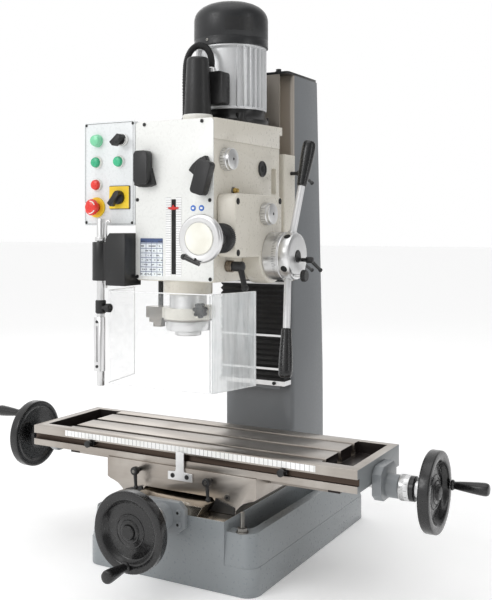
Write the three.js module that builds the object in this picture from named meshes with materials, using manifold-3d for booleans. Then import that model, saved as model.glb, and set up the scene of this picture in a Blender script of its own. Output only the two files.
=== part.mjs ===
// Benchtop geared-head milling and drilling machine with a dovetail column.
// Millimetres, +Z up, +X right along the table, -Y towards the operator.
// The origin is the middle of the base's underside.
import * as THREE from 'three';
import { mergeVertices } from 'three/addons/utils/BufferGeometryUtils.js';
import Module from 'manifold-3d';

const wasm = await Module();
wasm.setup();

// ---- driving dimensions ------------------------------------------------
const GAP = 0.3; // between pieces that touch in the real machine

const BASE_X = 205; // half width of the plinth
const BASE_Y = 301; // half depth of the plinth
const BASE_STEP_Z = 57; // top of the plinth
const BASE_TOP_Z = 122; // top of the tray walls
const WAY_X = 138; // half width of the way block
const WAY_Z = 143.5; // flat ways that carry the saddle
const WAY_TOP_Z = 164; // top of the cross dovetail

const COL_X = 94; // half width of the column
const COL_FRONT_Y = 114;
const COL_TOP_Z = 1095;
const DOVE_Y = 84; // front face of the column dovetail
const Z_SCREW_Y = 124;

const SADDLE_Y0 = -253;
const SADDLE_Y1 = -8;
const SADDLE_TOP_Z = 222.7;

const TABLE_X = 400; // half length of the table
const TABLE_Y0 = -250;
const TABLE_Y1 = -10;
const TABLE_Z0 = 223;
const TABLE_Z1 = 268;
const SLOT_Y = [-206, -130, -54]; // T-slot centre lines
const SLOT_END_X = 316; // T-slots run out into the end troughs
const X_SCREW_Y = -130;
const X_SCREW_Z = 214;
const Y_SCREW_Z = 138;

const HEAD_X = 96; // half width of the head
const HEAD_Y0 = -268;
const HEAD_Y1 = 39;
const HEAD_Z0 = 615;
const HEAD_Z1 = 910;
const LID_Z1 = 961;
const PLATE_Y = -271; // face of the front plate
const TILT_Z = 760; // axis of the head's swivel

const SPINDLE_Y = -214;
const QUILL_R = 39.6;
const NOSE_Z = 498;

const MOTOR_Y = -25;
const FEED_BOX_X = 140;
const HUB_Y = -90; // axis of the feed hub
const HUB_Z = 666;
const FINE_X = 120; // axis of the fine feed wheel
const WHEEL_R = 80;

// ---- materials ---------------------------------------------------------
const finish = {
  grey: [0x8f9497, 0.45, 0.1],
  cream: [0xd9d6cc, 0.4, 0.05],
  white: [0xe6e6e2, 0.35, 0.05],
  black: [0x1c1c1e, 0.4, 0.0],
  rubber: [0x18181a, 0.8, 0.0],
  ground: [0xa8a29a, 0.3, 0.9],
  silver: [0xb4b6b8, 0.35, 0.9],
  steel: [0x8c8a86, 0.4, 0.9],
  alu: [0xaeb0ae, 0.45, 0.85],
  clear: [0xe8eef0, 0.05, 0.0],
  green: [0x3fae84, 0.4, 0.0],
  red: [0xe2412f, 0.4, 0.0],
};

// ---- shape helpers -----------------------------------------------------
// A closed three.js geometry as a solid, turned outwards if it came out inside out.
function solid(geometry) {
  geometry.deleteAttribute('normal');
  geometry.deleteAttribute('uv');
  const merged = mergeVertices(geometry, 1e-4);
  const position = merged.attributes.position;
  const index = merged.index.array;
  const kept = [];
  let volume = 0;
  const a = new THREE.Vector3();
  const b = new THREE.Vector3();
  const c = new THREE.Vector3();
  for (let i = 0; i < index.length; i += 3) {
    const [p, q, r] = [index[i], index[i + 1], index[i + 2]];
    if (p === q || q === r || r === p) continue;
    a.fromBufferAttribute(position, p);
    b.fromBufferAttribute(position, q);
    c.fromBufferAttribute(position, r);
    volume += a.dot(b.clone().cross(c));
    kept.push([p, q, r]);
  }
  const ordered = volume < 0 ? kept.map(([p, q, r]) => [p, r, q]) : kept;
  return new wasm.Manifold(new wasm.Mesh({
    numProp: 3,
    vertProperties: new Float32Array(position.array),
    triVerts: new Uint32Array(ordered.flat()),
  }));
}

function union(...parts) {
  return parts.reduce((whole, part) => whole.add(part));
}

function cut(body, ...tools) {
  return tools.reduce((rest, tool) => rest.subtract(tool), body);
}

function block(x0, x1, y0, y1, z0, z1) {
  const box = new THREE.BoxGeometry(x1 - x0, y1 - y0, z1 - z0);
  return solid(box.translate((x0 + x1) / 2, (y0 + y1) / 2, (z0 + z1) / 2));
}

// Axes that a flat outline or a turned profile is carried to.
const CARRY = {
  x: new THREE.Matrix4().set(0, 0, 1, 0, 1, 0, 0, 0, 0, 1, 0, 0, 0, 0, 0, 1),
  y: new THREE.Matrix4().set(1, 0, 0, 0, 0, 0, 1, 0, 0, 1, 0, 0, 0, 0, 0, 1),
  z: new THREE.Matrix4(),
};

// An outline pushed along an axis. Outlines are (y, z) for x, (x, z) for y and (x, y) for z.
function prism(axis, outline, from, to) {
  const shape = new THREE.Shape(outline.map(([u, v]) => new THREE.Vector2(u, v)));
  const geometry = new THREE.ExtrudeGeometry(shape, { depth: to - from, bevelEnabled: false });
  geometry.translate(0, 0, from);
  return solid(geometry.applyMatrix4(CARRY[axis]));
}

// A profile of [radius, height] turned about an axis through (u, v).
function turned(axis, u, v, profile, sides = 28) {
  const closed = [[0, profile[0][1]], ...profile, [0, profile[profile.length - 1][1]]];
  const points = closed.map(([r, h]) => new THREE.Vector2(r, h));
  const geometry = new THREE.LatheGeometry(points, sides);
  geometry.rotateX(Math.PI / 2);
  geometry.translate(u, v, 0);
  return solid(geometry.applyMatrix4(CARRY[axis]));
}

function rod(axis, u, v, from, to, r, sides = 20) {
  return turned(axis, u, v, [[r, from], [r, to]], sides);
}

// A profile of [radius, distance] turned about the line from one point to another.
function spun(from, to, profile, sides = 16) {
  const a = new THREE.Vector3(...from);
  const way = new THREE.Vector3(...to).sub(a).normalize();
  const closed = [[0, profile[0][1]], ...profile, [0, profile[profile.length - 1][1]]];
  const geometry = new THREE.LatheGeometry(closed.map(([r, h]) => new THREE.Vector2(r, h)), sides);
  const turn = new THREE.Quaternion().setFromUnitVectors(new THREE.Vector3(0, 1, 0), way);
  geometry.applyQuaternion(turn);
  return solid(geometry.translate(a.x, a.y, a.z));
}

function bar(from, to, r0, r1 = r0, sides = 12) {
  const length = new THREE.Vector3(...to).distanceTo(new THREE.Vector3(...from));
  return spun(from, to, [[r0, 0], [r1, length]], sides);
}

function ball(x, y, z, r, sides = 10) {
  return solid(new THREE.SphereGeometry(r, sides, Math.round(sides * 0.6)).translate(x, y, z));
}

function rounded(u0, u1, v0, v1, r, steps = 3) {
  const points = [];
  const corners = [[u1 - r, v1 - r, 0], [u0 + r, v1 - r, 90], [u0 + r, v0 + r, 180], [u1 - r, v0 + r, 270]];
  for (const [cu, cv, start] of corners) {
    for (let i = 0; i <= steps; i += 1) {
      const t = THREE.MathUtils.degToRad(start + (90 * i) / steps);
      points.push([cu + r * Math.cos(t), cv + r * Math.sin(t)]);
    }
  }
  return points;
}

function circle(u, v, r, sides) {
  const points = [];
  for (let i = 0; i < sides; i += 1) {
    const t = (2 * Math.PI * i) / sides;
    points.push([u + r * Math.cos(t), v + r * Math.sin(t)]);
  }
  return points;
}

// A block with rounded vertical edges whose top is drawn in by a draft.
function drafted(x, y, r, z0, z1, inset) {
  const shape = new THREE.Shape(rounded(-x, x, -y, y, r, 5).map(([u, v]) => new THREE.Vector2(u, v)));
  const geometry = new THREE.ExtrudeGeometry(shape, { depth: z1 - z0, bevelEnabled: false });
  const position = geometry.attributes.position;
  for (let i = 0; i < position.count; i += 1) {
    if (position.getZ(i) > 0.5) {
      position.setX(i, position.getX(i) * (1 - inset / x));
      position.setY(i, position.getY(i) * (1 - inset / y));
    }
  }
  return solid(geometry.translate(0, 0, z0));
}

function tube(points, r, sides, steps) {
  const path = new THREE.CatmullRomCurve3(points.map((p) => new THREE.Vector3(...p)));
  const shape = new THREE.Shape(circle(0, 0, r, sides).map(([u, v]) => new THREE.Vector2(u, v)));
  return solid(new THREE.ExtrudeGeometry(shape, { steps, extrudePath: path, bevelEnabled: false }));
}

const machine = new THREE.Group();
machine.name = 'benchtop_milling_machine';

function add(name, body, look) {
  const { vertProperties, triVerts, numProp } = body.getMesh();
  if (numProp !== 3) throw new Error(`${name} carries more than positions`);
  const geometry = new THREE.BufferGeometry();
  geometry.setAttribute('position', new THREE.BufferAttribute(new Float32Array(vertProperties), 3));
  geometry.setIndex(new THREE.BufferAttribute(new Uint32Array(triVerts), 1));
  geometry.computeVertexNormals();
  const [color, roughness, metalness] = finish[look];
  const mesh = new THREE.Mesh(geometry, new THREE.MeshStandardMaterial({ color, roughness, metalness }));
  mesh.name = name;
  machine.add(mesh);
}

// ---- base and column ---------------------------------------------------
function baseCasting() {
  const plinth = prism('z', rounded(-BASE_X, BASE_X, -BASE_Y, BASE_Y, 30, 5), 0, BASE_STEP_Z);
  const walls = drafted(BASE_X - 1, BASE_Y - 1, 30, BASE_STEP_Z - 1, BASE_TOP_Z, 7);
  const ways = block(-WAY_X, WAY_X, -BASE_Y, 105, 40, WAY_Z);
  const pad = block(-112, 112, 95, 292, 40, WAY_Z);
  const dovetail = prism('y', [[-75, WAY_Z - 1], [-88, WAY_TOP_Z], [88, WAY_TOP_Z], [75, WAY_Z - 1]], -BASE_Y, 90);
  const tray = cut(
    prism('z', rounded(-176, 176, -262, 276, 22), 74, 130),
    block(-WAY_X, WAY_X, -BASE_Y, 105, 40, 150),
    block(-112, 112, 95, 292, 40, 150),
  );
  const channel = block(-26, 26, -240, 78, 108, 170);
  const bearing = rod('y', 0, Y_SCREW_Z, -BASE_Y - 5, -235, 11.3);
  return cut(union(plinth, walls, ways, pad, dovetail), tray, channel, bearing);
}

function column() {
  const side = [[COL_FRONT_Y, WAY_Z], [300, WAY_Z], [300, 200], [254, COL_TOP_Z], [COL_FRONT_Y, COL_TOP_Z]];
  const plan = prism('z', rounded(-COL_X, COL_X, COL_FRONT_Y, 300.5, 10), WAY_Z + GAP, COL_TOP_Z);
  const body = prism('x', side, -COL_X, COL_X).intersect(plan);
  const foot = prism('z', rounded(-110, 110, 100, 291, 8), WAY_Z + GAP, 166);
  const dove = [[-58, COL_FRONT_Y + 1], [-72, DOVE_Y], [72, DOVE_Y], [58, COL_FRONT_Y + 1]];
  const ways = prism('z', dove, 340, COL_TOP_Z);
  const channel = block(-20, 20, DOVE_Y - 5, 146, 352, COL_TOP_Z + 5);
  return cut(union(body, foot, ways), channel);
}

function columnCap() {
  const plate = prism('z', rounded(-COL_X, COL_X, DOVE_Y, 254, 8), COL_TOP_Z + GAP, COL_TOP_Z + 6);
  const bolts = [-63, 63].map((x) => union(
    rod('z', x, 97, COL_TOP_Z + 5, COL_TOP_Z + 8, 9, 16),
    rod('z', x, 97, COL_TOP_Z + 7, COL_TOP_Z + 14, 6.5, 6),
  ));
  return cut(union(plate, ...bolts), rod('z', 0, Z_SCREW_Y, 1090, 1110, 11.2));
}

function zScrew() {
  const shaft = rod('z', 0, Z_SCREW_Y, 356, 1103, 10.6);
  const washer = rod('z', 0, Z_SCREW_Y, COL_TOP_Z + 6.5, COL_TOP_Z + 10, 17);
  const nut = rod('z', 0, Z_SCREW_Y, COL_TOP_Z + 10, COL_TOP_Z + 19, 12, 6);
  return union(shaft, washer, nut);
}

function yBracket() {
  const r = 36;
  const outline = [[-54, 120], [-54, 157], [-40, 170], [40, 170], [54, 157], [54, 120], [34, 104], [-34, 104]];
  const plate = prism('y', outline, -BASE_Y - 14, -BASE_Y - GAP);
  const boss = rod('y', 0, Y_SCREW_Z, -BASE_Y - 40, -BASE_Y - 10, r - 8);
  const heads = union(
    rod('y', -40, 150, -BASE_Y - 18, -BASE_Y - 10, 6, 8),
    rod('y', 40, 150, -BASE_Y - 18, -BASE_Y - 10, 6, 8),
    rod('y', -40, 126, -BASE_Y - 18, -BASE_Y - 10, 6, 8),
    rod('y', 40, 126, -BASE_Y - 18, -BASE_Y - 10, 6, 8),
  );
  return cut(union(plate, boss, heads), rod('y', 0, Y_SCREW_Z, -400, -290, 11.3));
}

// ---- handwheels --------------------------------------------------------
// Dished disc wheel with a thick rim; face is the outer side, out is +1 or -1 along the axis.
function handwheel(axis, u, v, face, out, bore) {
  const h = (d) => face - out * d;
  const profile = [
    [17, h(-2)], [19, h(3)], [22, h(10)], [34, h(12)], [37, h(7)], [59, h(8)],
    [65, h(2)], [71, h(0)], [77, h(2)], [WHEEL_R, h(11)], [77, h(21)],
    [70, h(23)], [62, h(16)], [24, h(17)], [17, h(36)],
  ];
  return cut(turned(axis, u, v, profile, 32), rod(axis, u, v, h(38), h(8), bore));
}

// Tapered revolving grip on a short collar.
function gripProfile(length) {
  return [
    [8.5, 0], [10.5, 2], [7.5, 7], [8.5, 14], [11.5, length * 0.55],
    [13, length - 10], [9.5, length],
  ];
}

function yScrew() {
  const shaft = rod('y', 0, Y_SCREW_Z, -428.7, 70, 10.8);
  const dial = turned('y', 0, Y_SCREW_Z, [[30, -370], [31, -368], [31, -352], [28, -350], [27, -342]], 32);
  return union(shaft, dial);
}

// ---- saddle ------------------------------------------------------------
function saddle() {
  const half = [[185, SADDLE_TOP_Z], [185, 180], [178, 176], [168, 173], [156, 168], [146, 160], [WAY_X, 150], [WAY_X, 144]];
  const outline = [...half, ...half.map(([x, z]) => [-x, z]).reverse()];
  const body = prism('y', outline, SADDLE_Y0, SADDLE_Y1);
  const lower = [[-76, 140], [-89, 164.6], [-83, 171.5], [83, 171.5], [89, 164.6], [76, 140]];
  const cross = prism('y', lower, SADDLE_Y0 - 5, SADDLE_Y1 + 5);
  const upper = [[-183, 228], [-191, 199.4], [-69, 199.4], [-77, 228]];
  const long = prism('x', upper, -190, 190);
  const yNut = cut(block(-22, 22, -150, -110, 112, 176), rod('y', 0, Y_SCREW_Z, -160, -100, 11.1));
  const xNut = cut(block(-24, 24, -147, -113, 195, 226), rod('x', X_SCREW_Y, X_SCREW_Z, -30, 30, 10.1));
  return union(cut(body, cross, long), yNut, xNut);
}

function saddleLock(x) {
  const z = 206;
  const stem = rod('y', x, z, SADDLE_Y0 - 22, SADDLE_Y0 - GAP, 5, 14);
  const hub = turned('y', x, z, [[7, SADDLE_Y0 - 24], [9, SADDLE_Y0 - 22], [9, SADDLE_Y0 - 11], [7, SADDLE_Y0 - 9]], 16);
  const tip = [x + 7, SADDLE_Y0 - 24, z - 33];
  const arm = bar([x, SADDLE_Y0 - 17, z], tip, 4.4, 3.4, 10);
  return union(stem, hub, arm, ball(...tip, 5.2));
}

// ---- table -------------------------------------------------------------
function table() {
  const body = block(-TABLE_X, TABLE_X, TABLE_Y0, TABLE_Y1, TABLE_Z0, TABLE_Z1);
  const rail = prism('x', [[-182.4, TABLE_Z0 + 1], [-190.2, 200], [-69.8, 200], [-77.6, TABLE_Z0 + 1]], -340, 340);
  const tools = [
    block(-TABLE_X - 1, TABLE_X + 1, TABLE_Y0 - 1, TABLE_Y0 + 8, 237, 250),
    block(-345, 345, X_SCREW_Y - 20, X_SCREW_Y + 20, 190, 232),
    block(SLOT_END_X - 2, 380, -222, -26, 243, 270),
    block(-380, -SLOT_END_X + 2, -222, -26, 243, 270),
  ];
  for (const y of SLOT_Y) {
    tools.push(block(-SLOT_END_X, SLOT_END_X, y - 7, y + 7, 250, 270));
    tools.push(block(-SLOT_END_X, SLOT_END_X, y - 12.5, y + 12.5, 243, 254));
  }
  const bores = rod('x', X_SCREW_Y, X_SCREW_Z, -410, 410, 18);
  return cut(union(body, rail), ...tools, bores);
}

function xBracket(side) {
  const at = (d) => side * (TABLE_X + d);
  const outline = [[-160, 189], [-100, 189], [-84, 202], [-84, 244], [-100, 257], [-160, 257], [-176, 244], [-176, 202]];
  const span = [at(GAP), at(20)].sort((a, b) => a - b);
  const plate = prism('x', outline, ...span);
  const boss = rod('x', X_SCREW_Y, X_SCREW_Z, ...[at(15), at(44)].sort((a, b) => a - b), 23.5, 28);
  return cut(union(plate, boss), rod('x', X_SCREW_Y, X_SCREW_Z, at(-10), at(60), 10.2));
}

function xScrew() {
  const shaft = rod('x', X_SCREW_Y, X_SCREW_Z, -503.7, 515.7, 9.7, 20);
  const dial = [[24.6, 445], [25.6, 447], [25.6, 466], [25, 467], [25, 475], [16, 477]];
  const right = turned('x', X_SCREW_Y, X_SCREW_Z, [...dial, [16, 487]], 28);
  const left = turned('x', X_SCREW_Y, X_SCREW_Z, [...dial, [16, 477.5]].map(([r, h]) => [r, -h]), 28);
  return union(shaft, right, left);
}

// ---- table stops -------------------------------------------------------
function tableStop(x) {
  const foot = block(x - 9, x + 9, TABLE_Y0 + 0.5, TABLE_Y0 + 7.5, 240.4, 248.6);
  const body = block(x - 7, x + 7, TABLE_Y0 - 9, TABLE_Y0 + 1, 240.8, 248.2);
  const screw = rod('y', x, 244.5, TABLE_Y0 - 13, TABLE_Y0 - 5, 7.5, 16);
  return union(foot, body, screw);
}

// ---- carriage, head and lid --------------------------------------------
function carriage() {
  const plan = rounded(-100, 100, 54, COL_FRONT_Y - GAP, 5);
  const body = prism('z', plan, 613, 900);
  const groove = [[-58.6, COL_FRONT_Y + 2], [-73, DOVE_Y - GAP - 0.1], [73, DOVE_Y - GAP - 0.1], [58.6, COL_FRONT_Y + 2]];
  const slot = prism('z', groove, 600, 910);
  const nut = cut(block(-17, 17, 80, 142, 690, 770), rod('z', 0, Z_SCREW_Y, 680, 780, 10.9));
  const disc = rod('y', 0, TILT_Z, HEAD_Y1 + GAP, 55, 90, 48);
  return union(cut(body, slot), nut, disc);
}

function headCasting() {
  const body = prism('z', rounded(-HEAD_X, HEAD_X, HEAD_Y0, HEAD_Y1, 8), HEAD_Z0, HEAD_Z1);
  const boss = rod('z', 0, SPINDLE_Y, 587, HEAD_Z0 + 5, 52.5, 40);
  const tools = [
    rod('z', 0, SPINDLE_Y, 580, 862, QUILL_R + 0.3, 40),
    block(-5.5, 5.5, HEAD_Y0 - 5, HEAD_Y0 + 10, 630, 787),
    rod('z', -70, SPINDLE_Y, 600, 720, 6.5, 16),
    prism('x', rounded(-8, 17, 804, 863, 4), 82, 100),
  ];
  return cut(union(body, boss), ...tools);
}

function headLid() {
  const lower = prism('z', rounded(-HEAD_X - 1, HEAD_X + 1, HEAD_Y0, HEAD_Y1, 8), HEAD_Z1 + GAP, LID_Z1);
  const flange = prism('z', rounded(-HEAD_X - 1, HEAD_X + 1, HEAD_Y0 + 40, 53, 8), 942, LID_Z1);
  const above = [[HEAD_Y0 - 5, 953.4], [HEAD_Y1, LID_Z1], [60, LID_Z1], [60, LID_Z1 + 10], [HEAD_Y0 - 5, LID_Z1 + 10]];
  const pads = [
    rod('z', 0, -174, 950, LID_Z1, 33, 32),
    rod('z', 0, MOTOR_Y, 950, LID_Z1, 89, 44).intersect(block(-95, 95, -120, 38, 940, 970)),
    rod('z', -62, -125, 950, LID_Z1, 12, 20),
  ];
  return union(cut(union(lower, flange), prism('x', above, -110, 110)), ...pads);
}

function frontPlate() {
  const plate = prism('y', rounded(-97, 96, 617, 953, 7), PLATE_Y, HEAD_Y0 - GAP);
  return cut(plate, block(-5.5, 5.5, PLATE_Y - 2, HEAD_Y0 + 2, 630, 787));
}

function feedBox() {
  const box = prism('x', rounded(-257, -44, 666, 798, 14), HEAD_X + GAP, FEED_BOX_X);
  const boss = rod('x', HUB_Y, HUB_Z, HEAD_X + GAP, FEED_BOX_X, 60, 36);
  return union(box, boss);
}

// ---- controls on the head ----------------------------------------------
// Paddle on a fan-shaped skirt; turn is about the front-to-back axis.
function speedLever(x, z, angle, fanAngle) {
  const y = PLATE_Y;
  const c = Math.cos(angle);
  const s = Math.sin(angle);
  const carry = ([a, b]) => [x + a * c - b * s, z + a * s + b * c];
  const fan = [[-15, 6], [15, 6], [25, -30], [12, -34], [0, -35], [-12, -34], [-25, -30]];
  const blade = rounded(-17, 17, -29, 42, 8);
  const [fc, fs] = [Math.cos(fanAngle), Math.sin(fanAngle)];
  const spread = fan.map(([a, b]) => [x + a * fc - b * fs, z + a * fs + b * fc]);
  return union(prism('y', spread, y - 14, y - GAP), prism('y', blade.map(carry), y - 27, y - 6));
}

function dial(y, z, x) {
  const profile = [[24, x + GAP], [24, x + 14], [22.5, x + 16], [22.5, x + 20], [20, x + 22.5]];
  return cut(turned('x', y, z, profile, 28), block(x + 20, x + 30, y - 2, y + 2, z - 16, z + 16));
}

const feedAngle = THREE.MathUtils.degToRad(14);
const FEED_WAY = [Math.sin(5.1 * Math.PI / 180), Math.sin(feedAngle), Math.cos(feedAngle)];

function alongFeed(sign, r) {
  return [178.4 + r * FEED_WAY[0], HUB_Y + sign * r * FEED_WAY[1], HUB_Z + sign * r * FEED_WAY[2]];
}

function feedHub() {
  const x = FEED_BOX_X;
  const hub = [
    [52, x + GAP], [52, x + 34], [49, x + 34.5], [49, x + 36.5], [50.5, x + 37], [50.5, x + 58],
    [47, x + 61], [13.5, x + 61], [12.5, x + 62.6],
  ];
  return union(
    turned('x', HUB_Y, HUB_Z, hub, 36),
    bar(alongFeed(1, 40), alongFeed(1, 157), 7.75, 7.75, 14),
    bar(alongFeed(-1, 40), alongFeed(-1, 157), 7.75, 7.75, 14),
  );
}

function feedGrip(sign) {
  const profile = [[9.5, 0], [10.5, 3], [12, 18], [15, 58], [15.5, 74], [12.5, 96], [6, 103]];
  return spun(alongFeed(sign, 157.4), alongFeed(sign, 300), profile, 18);
}

function fineFeedWheel() {
  const profile = [
    [14, -257 - GAP], [14, -272], [30, -272.4], [30, -289], [17, -292], [15, -312], [17, -329], [22, -341],
    [41, -349], [47, -354], [48, -361], [46, -367], [42, -368.5], [37, -367],
  ];
  const wheel = turned('y', FINE_X, 706.5, profile, 36);
  const crank = union(bar([88, -372, 671], [124, -372, 657], 5, 4, 12), ball(88, -372, 671, 6), bar([112, -374, 662], [112, -362, 668], 4, 4, 10));
  return union(wheel, crank);
}

function quillLock() {
  const spacer = rod('x', SPINDLE_Y, 647, HEAD_X + GAP, 111, 12.5, 24);
  const hub = turned('x', SPINDLE_Y, 647, [[9, 109], [10.5, 111], [10.5, 133], [8.5, 136]], 24);
  const tip = [143, -222, 603.5];
  return union(spacer, hub, bar([128, -215, 646], tip, 6.8, 5.4, 12), ball(...tip, 7.6));
}

function clampLever(x0, x1, y, z, tip, knob) {
  const stem = rod('x', y, z, x0, x1, 4.2, 12);
  const hub = turned('x', y, z, [[5.6, x1 - 15], [6.8, x1 - 14], [6.8, x1 - 1], [5, x1 + 1.5]], 16);
  return union(stem, hub, bar([x1 - 5, y, z], tip, 4.2, 3.4, 10), ball(...tip, knob));
}

function thumbscrew() {
  const x = FEED_BOX_X + 61;
  return turned('x', -109, 625.4, [[3.2, x + GAP], [3.2, x + 18], [12.4, x + 19], [12.4, x + 28], [10.5, x + 29.5]], 18);
}
function hubLock() {
  const [x, y, z] = [FEED_BOX_X + 61, -69.3, 657.6];
  const tip = [x + 27, -31, 634.5];
  return union(rod('x', y, z, x + GAP, x + 27, 6, 14), bar([x + 22, y, z], tip, 4.4, 3.4, 10), ball(...tip, 4.8));
}

// ---- spindle and quill -------------------------------------------------
function quill() {
  const profile = [[47, 509.3], [47, 529], [45, 530], [QUILL_R, 530], [QUILL_R, 850]];
  return cut(turned('z', 0, SPINDLE_Y, profile, 36), rod('z', 0, SPINDLE_Y, 500, 860, 24.3, 28));
}

function spindle() {
  const profile = [[27, NOSE_Z], [28.5, NOSE_Z + 1.5], [28.5, 509], [24, 509], [24, 856]];
  const taper = turned('z', 0, SPINDLE_Y, [[15.8, NOSE_Z - 1], [15.8, 512], [12, 606]], 24);
  return cut(turned('z', 0, SPINDLE_Y, profile, 28), taper);
}

function stopCollar() {
  const y = SPINDLE_Y;
  const ring = rod('z', 0, y, 530.3, 557, 52, 40);
  const arm = prism('z', [[0, y - 24], [-48, y - 18], [-98, y - 16], [-102, y - 8], [-102, y + 12], [-48, y + 22], [0, y + 24]], 532, 556);
  const steps = union(block(-92, -60, y - 13, y + 11, 522, 533), block(-84, -64, y - 9, y + 8, 512, 523));
  const lug = block(40, 74, y - 35.4, y - 8, 539, 566);
  const stopRod = rod('z', -70, y, 550, 690, 5.5, 12);
  const bore = rod('z', 0, y, 500, 600, QUILL_R + GAP, 40);
  return union(cut(union(ring, arm, lug, steps), bore), stopRod);
}

function starKnob() {
  const [x, z] = [58.5, 556.3];
  const y = SPINDLE_Y - 35.4;
  const parts = [rod('y', x, z, y - 16, y - GAP, 5, 12), rod('y', x, z, y - 18, y - 4, 12.4, 21)];
  for (let i = 0; i < 7; i += 1) {
    const t = (2 * Math.PI * i) / 7 + 0.3;
    parts.push(rod('y', x + 13 * Math.cos(t), z + 13 * Math.sin(t), y - 17, y - 5, 4.2, 8));
  }
  return union(...parts);
}

// ---- drawbar cover and motor -------------------------------------------
function drawbarCover() {
  const profile = [[32.6, LID_Z1 + GAP], [32.6, 972], [29.6, 974], [24.4, 1089], [22.4, 1096.6], [15, 1099.2]];
  return turned('z', 0, -174, profile, 28);
}

function motorFlange() {
  const ring = turned('z', 0, MOTOR_Y, [[88, LID_Z1 + GAP], [88, 972], [84, 976], [80, 984], [80, 994]], 44);
  const lugs = [];
  for (let i = 0; i < 4; i += 1) {
    const t = Math.PI / 4 + (i * Math.PI) / 2;
    lugs.push(rod('z', 80 * Math.cos(t), MOTOR_Y + 80 * Math.sin(t), LID_Z1 + GAP, 984, 12, 16));
  }
  return cut(union(ring, ...lugs), block(-100, 100, 54, 90, 950, 1010));
}

function motorBody() {
  const [z0, z1] = [994.3, 1140];
  const parts = [rod('z', 0, MOTOR_Y, z0, z1, 73, 44)];
  for (let i = 0; i < 32; i += 1) {
    const t = (2 * Math.PI * (i + 0.5)) / 32;
    const facingBox = Math.abs(Math.sin(t) + 1) < 0.16;
    if (facingBox) continue;
    const [c, s] = [Math.cos(t), Math.sin(t)];
    const fin = [[68, -1.5], [82.5, -1.1], [82.5, 1.1], [68, 1.5]];
    const outline = fin.map(([r, w]) => [r * c - w * s, MOTOR_Y + r * s + w * c]);
    parts.push(prism('z', outline, z0, z1));
  }
  return union(...parts);
}

function motorFanCover() {
  const profile = [
    [84, 1140.3], [86, 1141], [86, 1206], [84.5, 1214], [81, 1222], [74, 1231], [62, 1239], [44, 1245], [20, 1248],
  ];
  return turned('z', 0, MOTOR_Y, profile, 40);
}

function terminalBox() {
  const box = prism('y', rounded(-43, 43, 1000, 1072, 6), -142, -108.2);
  const gland = turned('z', 6, -125, [[9.5, 1071], [9.5, 1077], [8, 1078], [8, 1084]], 20);
  return union(box, gland);
}

function conduit() {
  const route = [
    [6, -125, 1084.4], [6, -125, 1100], [1, -125, 1118], [-12, -125, 1132], [-31, -125, 1136], [-48, -125, 1126],
    [-59, -125, 1104], [-62, -125, 1070], [-62, -125, 1020], [-62, -125, 990], [-62, -125, 961.3],
  ];
  return tube(route, 7.5, 8, 34);
}

// ---- control box -------------------------------------------------------
const BUTTONS = [[-199.5, 870.5], [-139, 870.5], [-199.5, 821.3]];
const STOP = [-200, 772];

function controlBox() {
  const body = prism('y', rounded(-234, -97.4, 733, 958, 9), -268, -172);
  const face = prism('y', rounded(-235.5, -99.5, 732, 959, 6), PLATE_Y, -267);
  const collars = BUTTONS.map(([x, z]) => turned('y', x, z, [[14, PLATE_Y + 1], [14, PLATE_Y - 3], [12.5, PLATE_Y - 5]], 20));
  const base = rod('y', ...STOP, PLATE_Y - 3, PLATE_Y + 1, 21, 24);
  const bores = BUTTONS.map(([x, z]) => rod('y', x, z, PLATE_Y - 6, PLATE_Y + 12, 11.3, 20));
  const whole = union(body, face, switchPlate(-138, 793), ...collars, base);
  return cut(whole, ...bores, rod('y', ...STOP, PLATE_Y - 6, PLATE_Y + 14, 10.4, 20));
}

function button([x, z]) {
  const y = PLATE_Y;
  return turned('y', x, z, [[10.8, y + 5], [10.8, y - 11], [9.4, y - 12.5]], 20);
}

function selector(x, z) {
  const y = PLATE_Y;
  const ring = turned('y', x, z, [[13, y - GAP], [13, y - 9], [10.5, y - 11]], 24);
  const t = THREE.MathUtils.degToRad(40);
  const bar2 = [[-15, -5.5], [11, -5.5], [14, 0], [11, 5.5], [-15, 5.5]];
  const turnedBar = bar2.map(([a, b]) => [x + a * Math.cos(t) - b * Math.sin(t), z + a * Math.sin(t) + b * Math.cos(t)]);
  return union(ring, prism('y', turnedBar, y - 31, y - 9));
}

function emergencyStop([x, z]) {
  const y = PLATE_Y;
  const profile = [[9.9, y + 5], [9.9, y - 12], [17, y - 15], [18, y - 21], [15, y - 26], [8, y - 28]];
  return turned('y', x, z, profile, 28);
}

function mainSwitch(x, z) {
  const y = PLATE_Y;
  const disc = turned('y', x, z, [[15, y - 4 - GAP], [15, y - 10], [13, y - 13]], 24);
  const t = THREE.MathUtils.degToRad(50);
  const bar2 = [[-21, -5.5], [13, -5.5], [16, 0], [13, 5.5], [-21, 5.5]];
  const turnedBar = bar2.map(([a, b]) => [x + a * Math.cos(t) - b * Math.sin(t), z + a * Math.sin(t) + b * Math.cos(t)]);
  return union(disc, prism('y', turnedBar, y - 24, y - 8));
}

function switchPlate(x, z) {
  return prism('y', rounded(x - 26, x + 26, z - 24, z + 24, 3), PLATE_Y - 4, PLATE_Y + 1);
}

// ---- swing guard -------------------------------------------------------
const POLE = [-168, -300];

function guardBracket() {
  const clamp = rod('z', ...POLE, 614, 697, 18, 28);
  const arm = block(-166, -140, -310, -284, 616, 695);
  const back = prism('y', [[-148, 604], [-96.5, 604], [-96.5, 716], [-138, 716], [-148, 704]], -310, -250);
  const bores = [rod('z', ...POLE, 600, 720, 8.8, 24), rod('z', ...POLE, 698, 720, 13, 24)];
  return cut(union(clamp, arm, back), ...bores, block(-97.3, -60, -320, -240, 600, 720));
}

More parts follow.
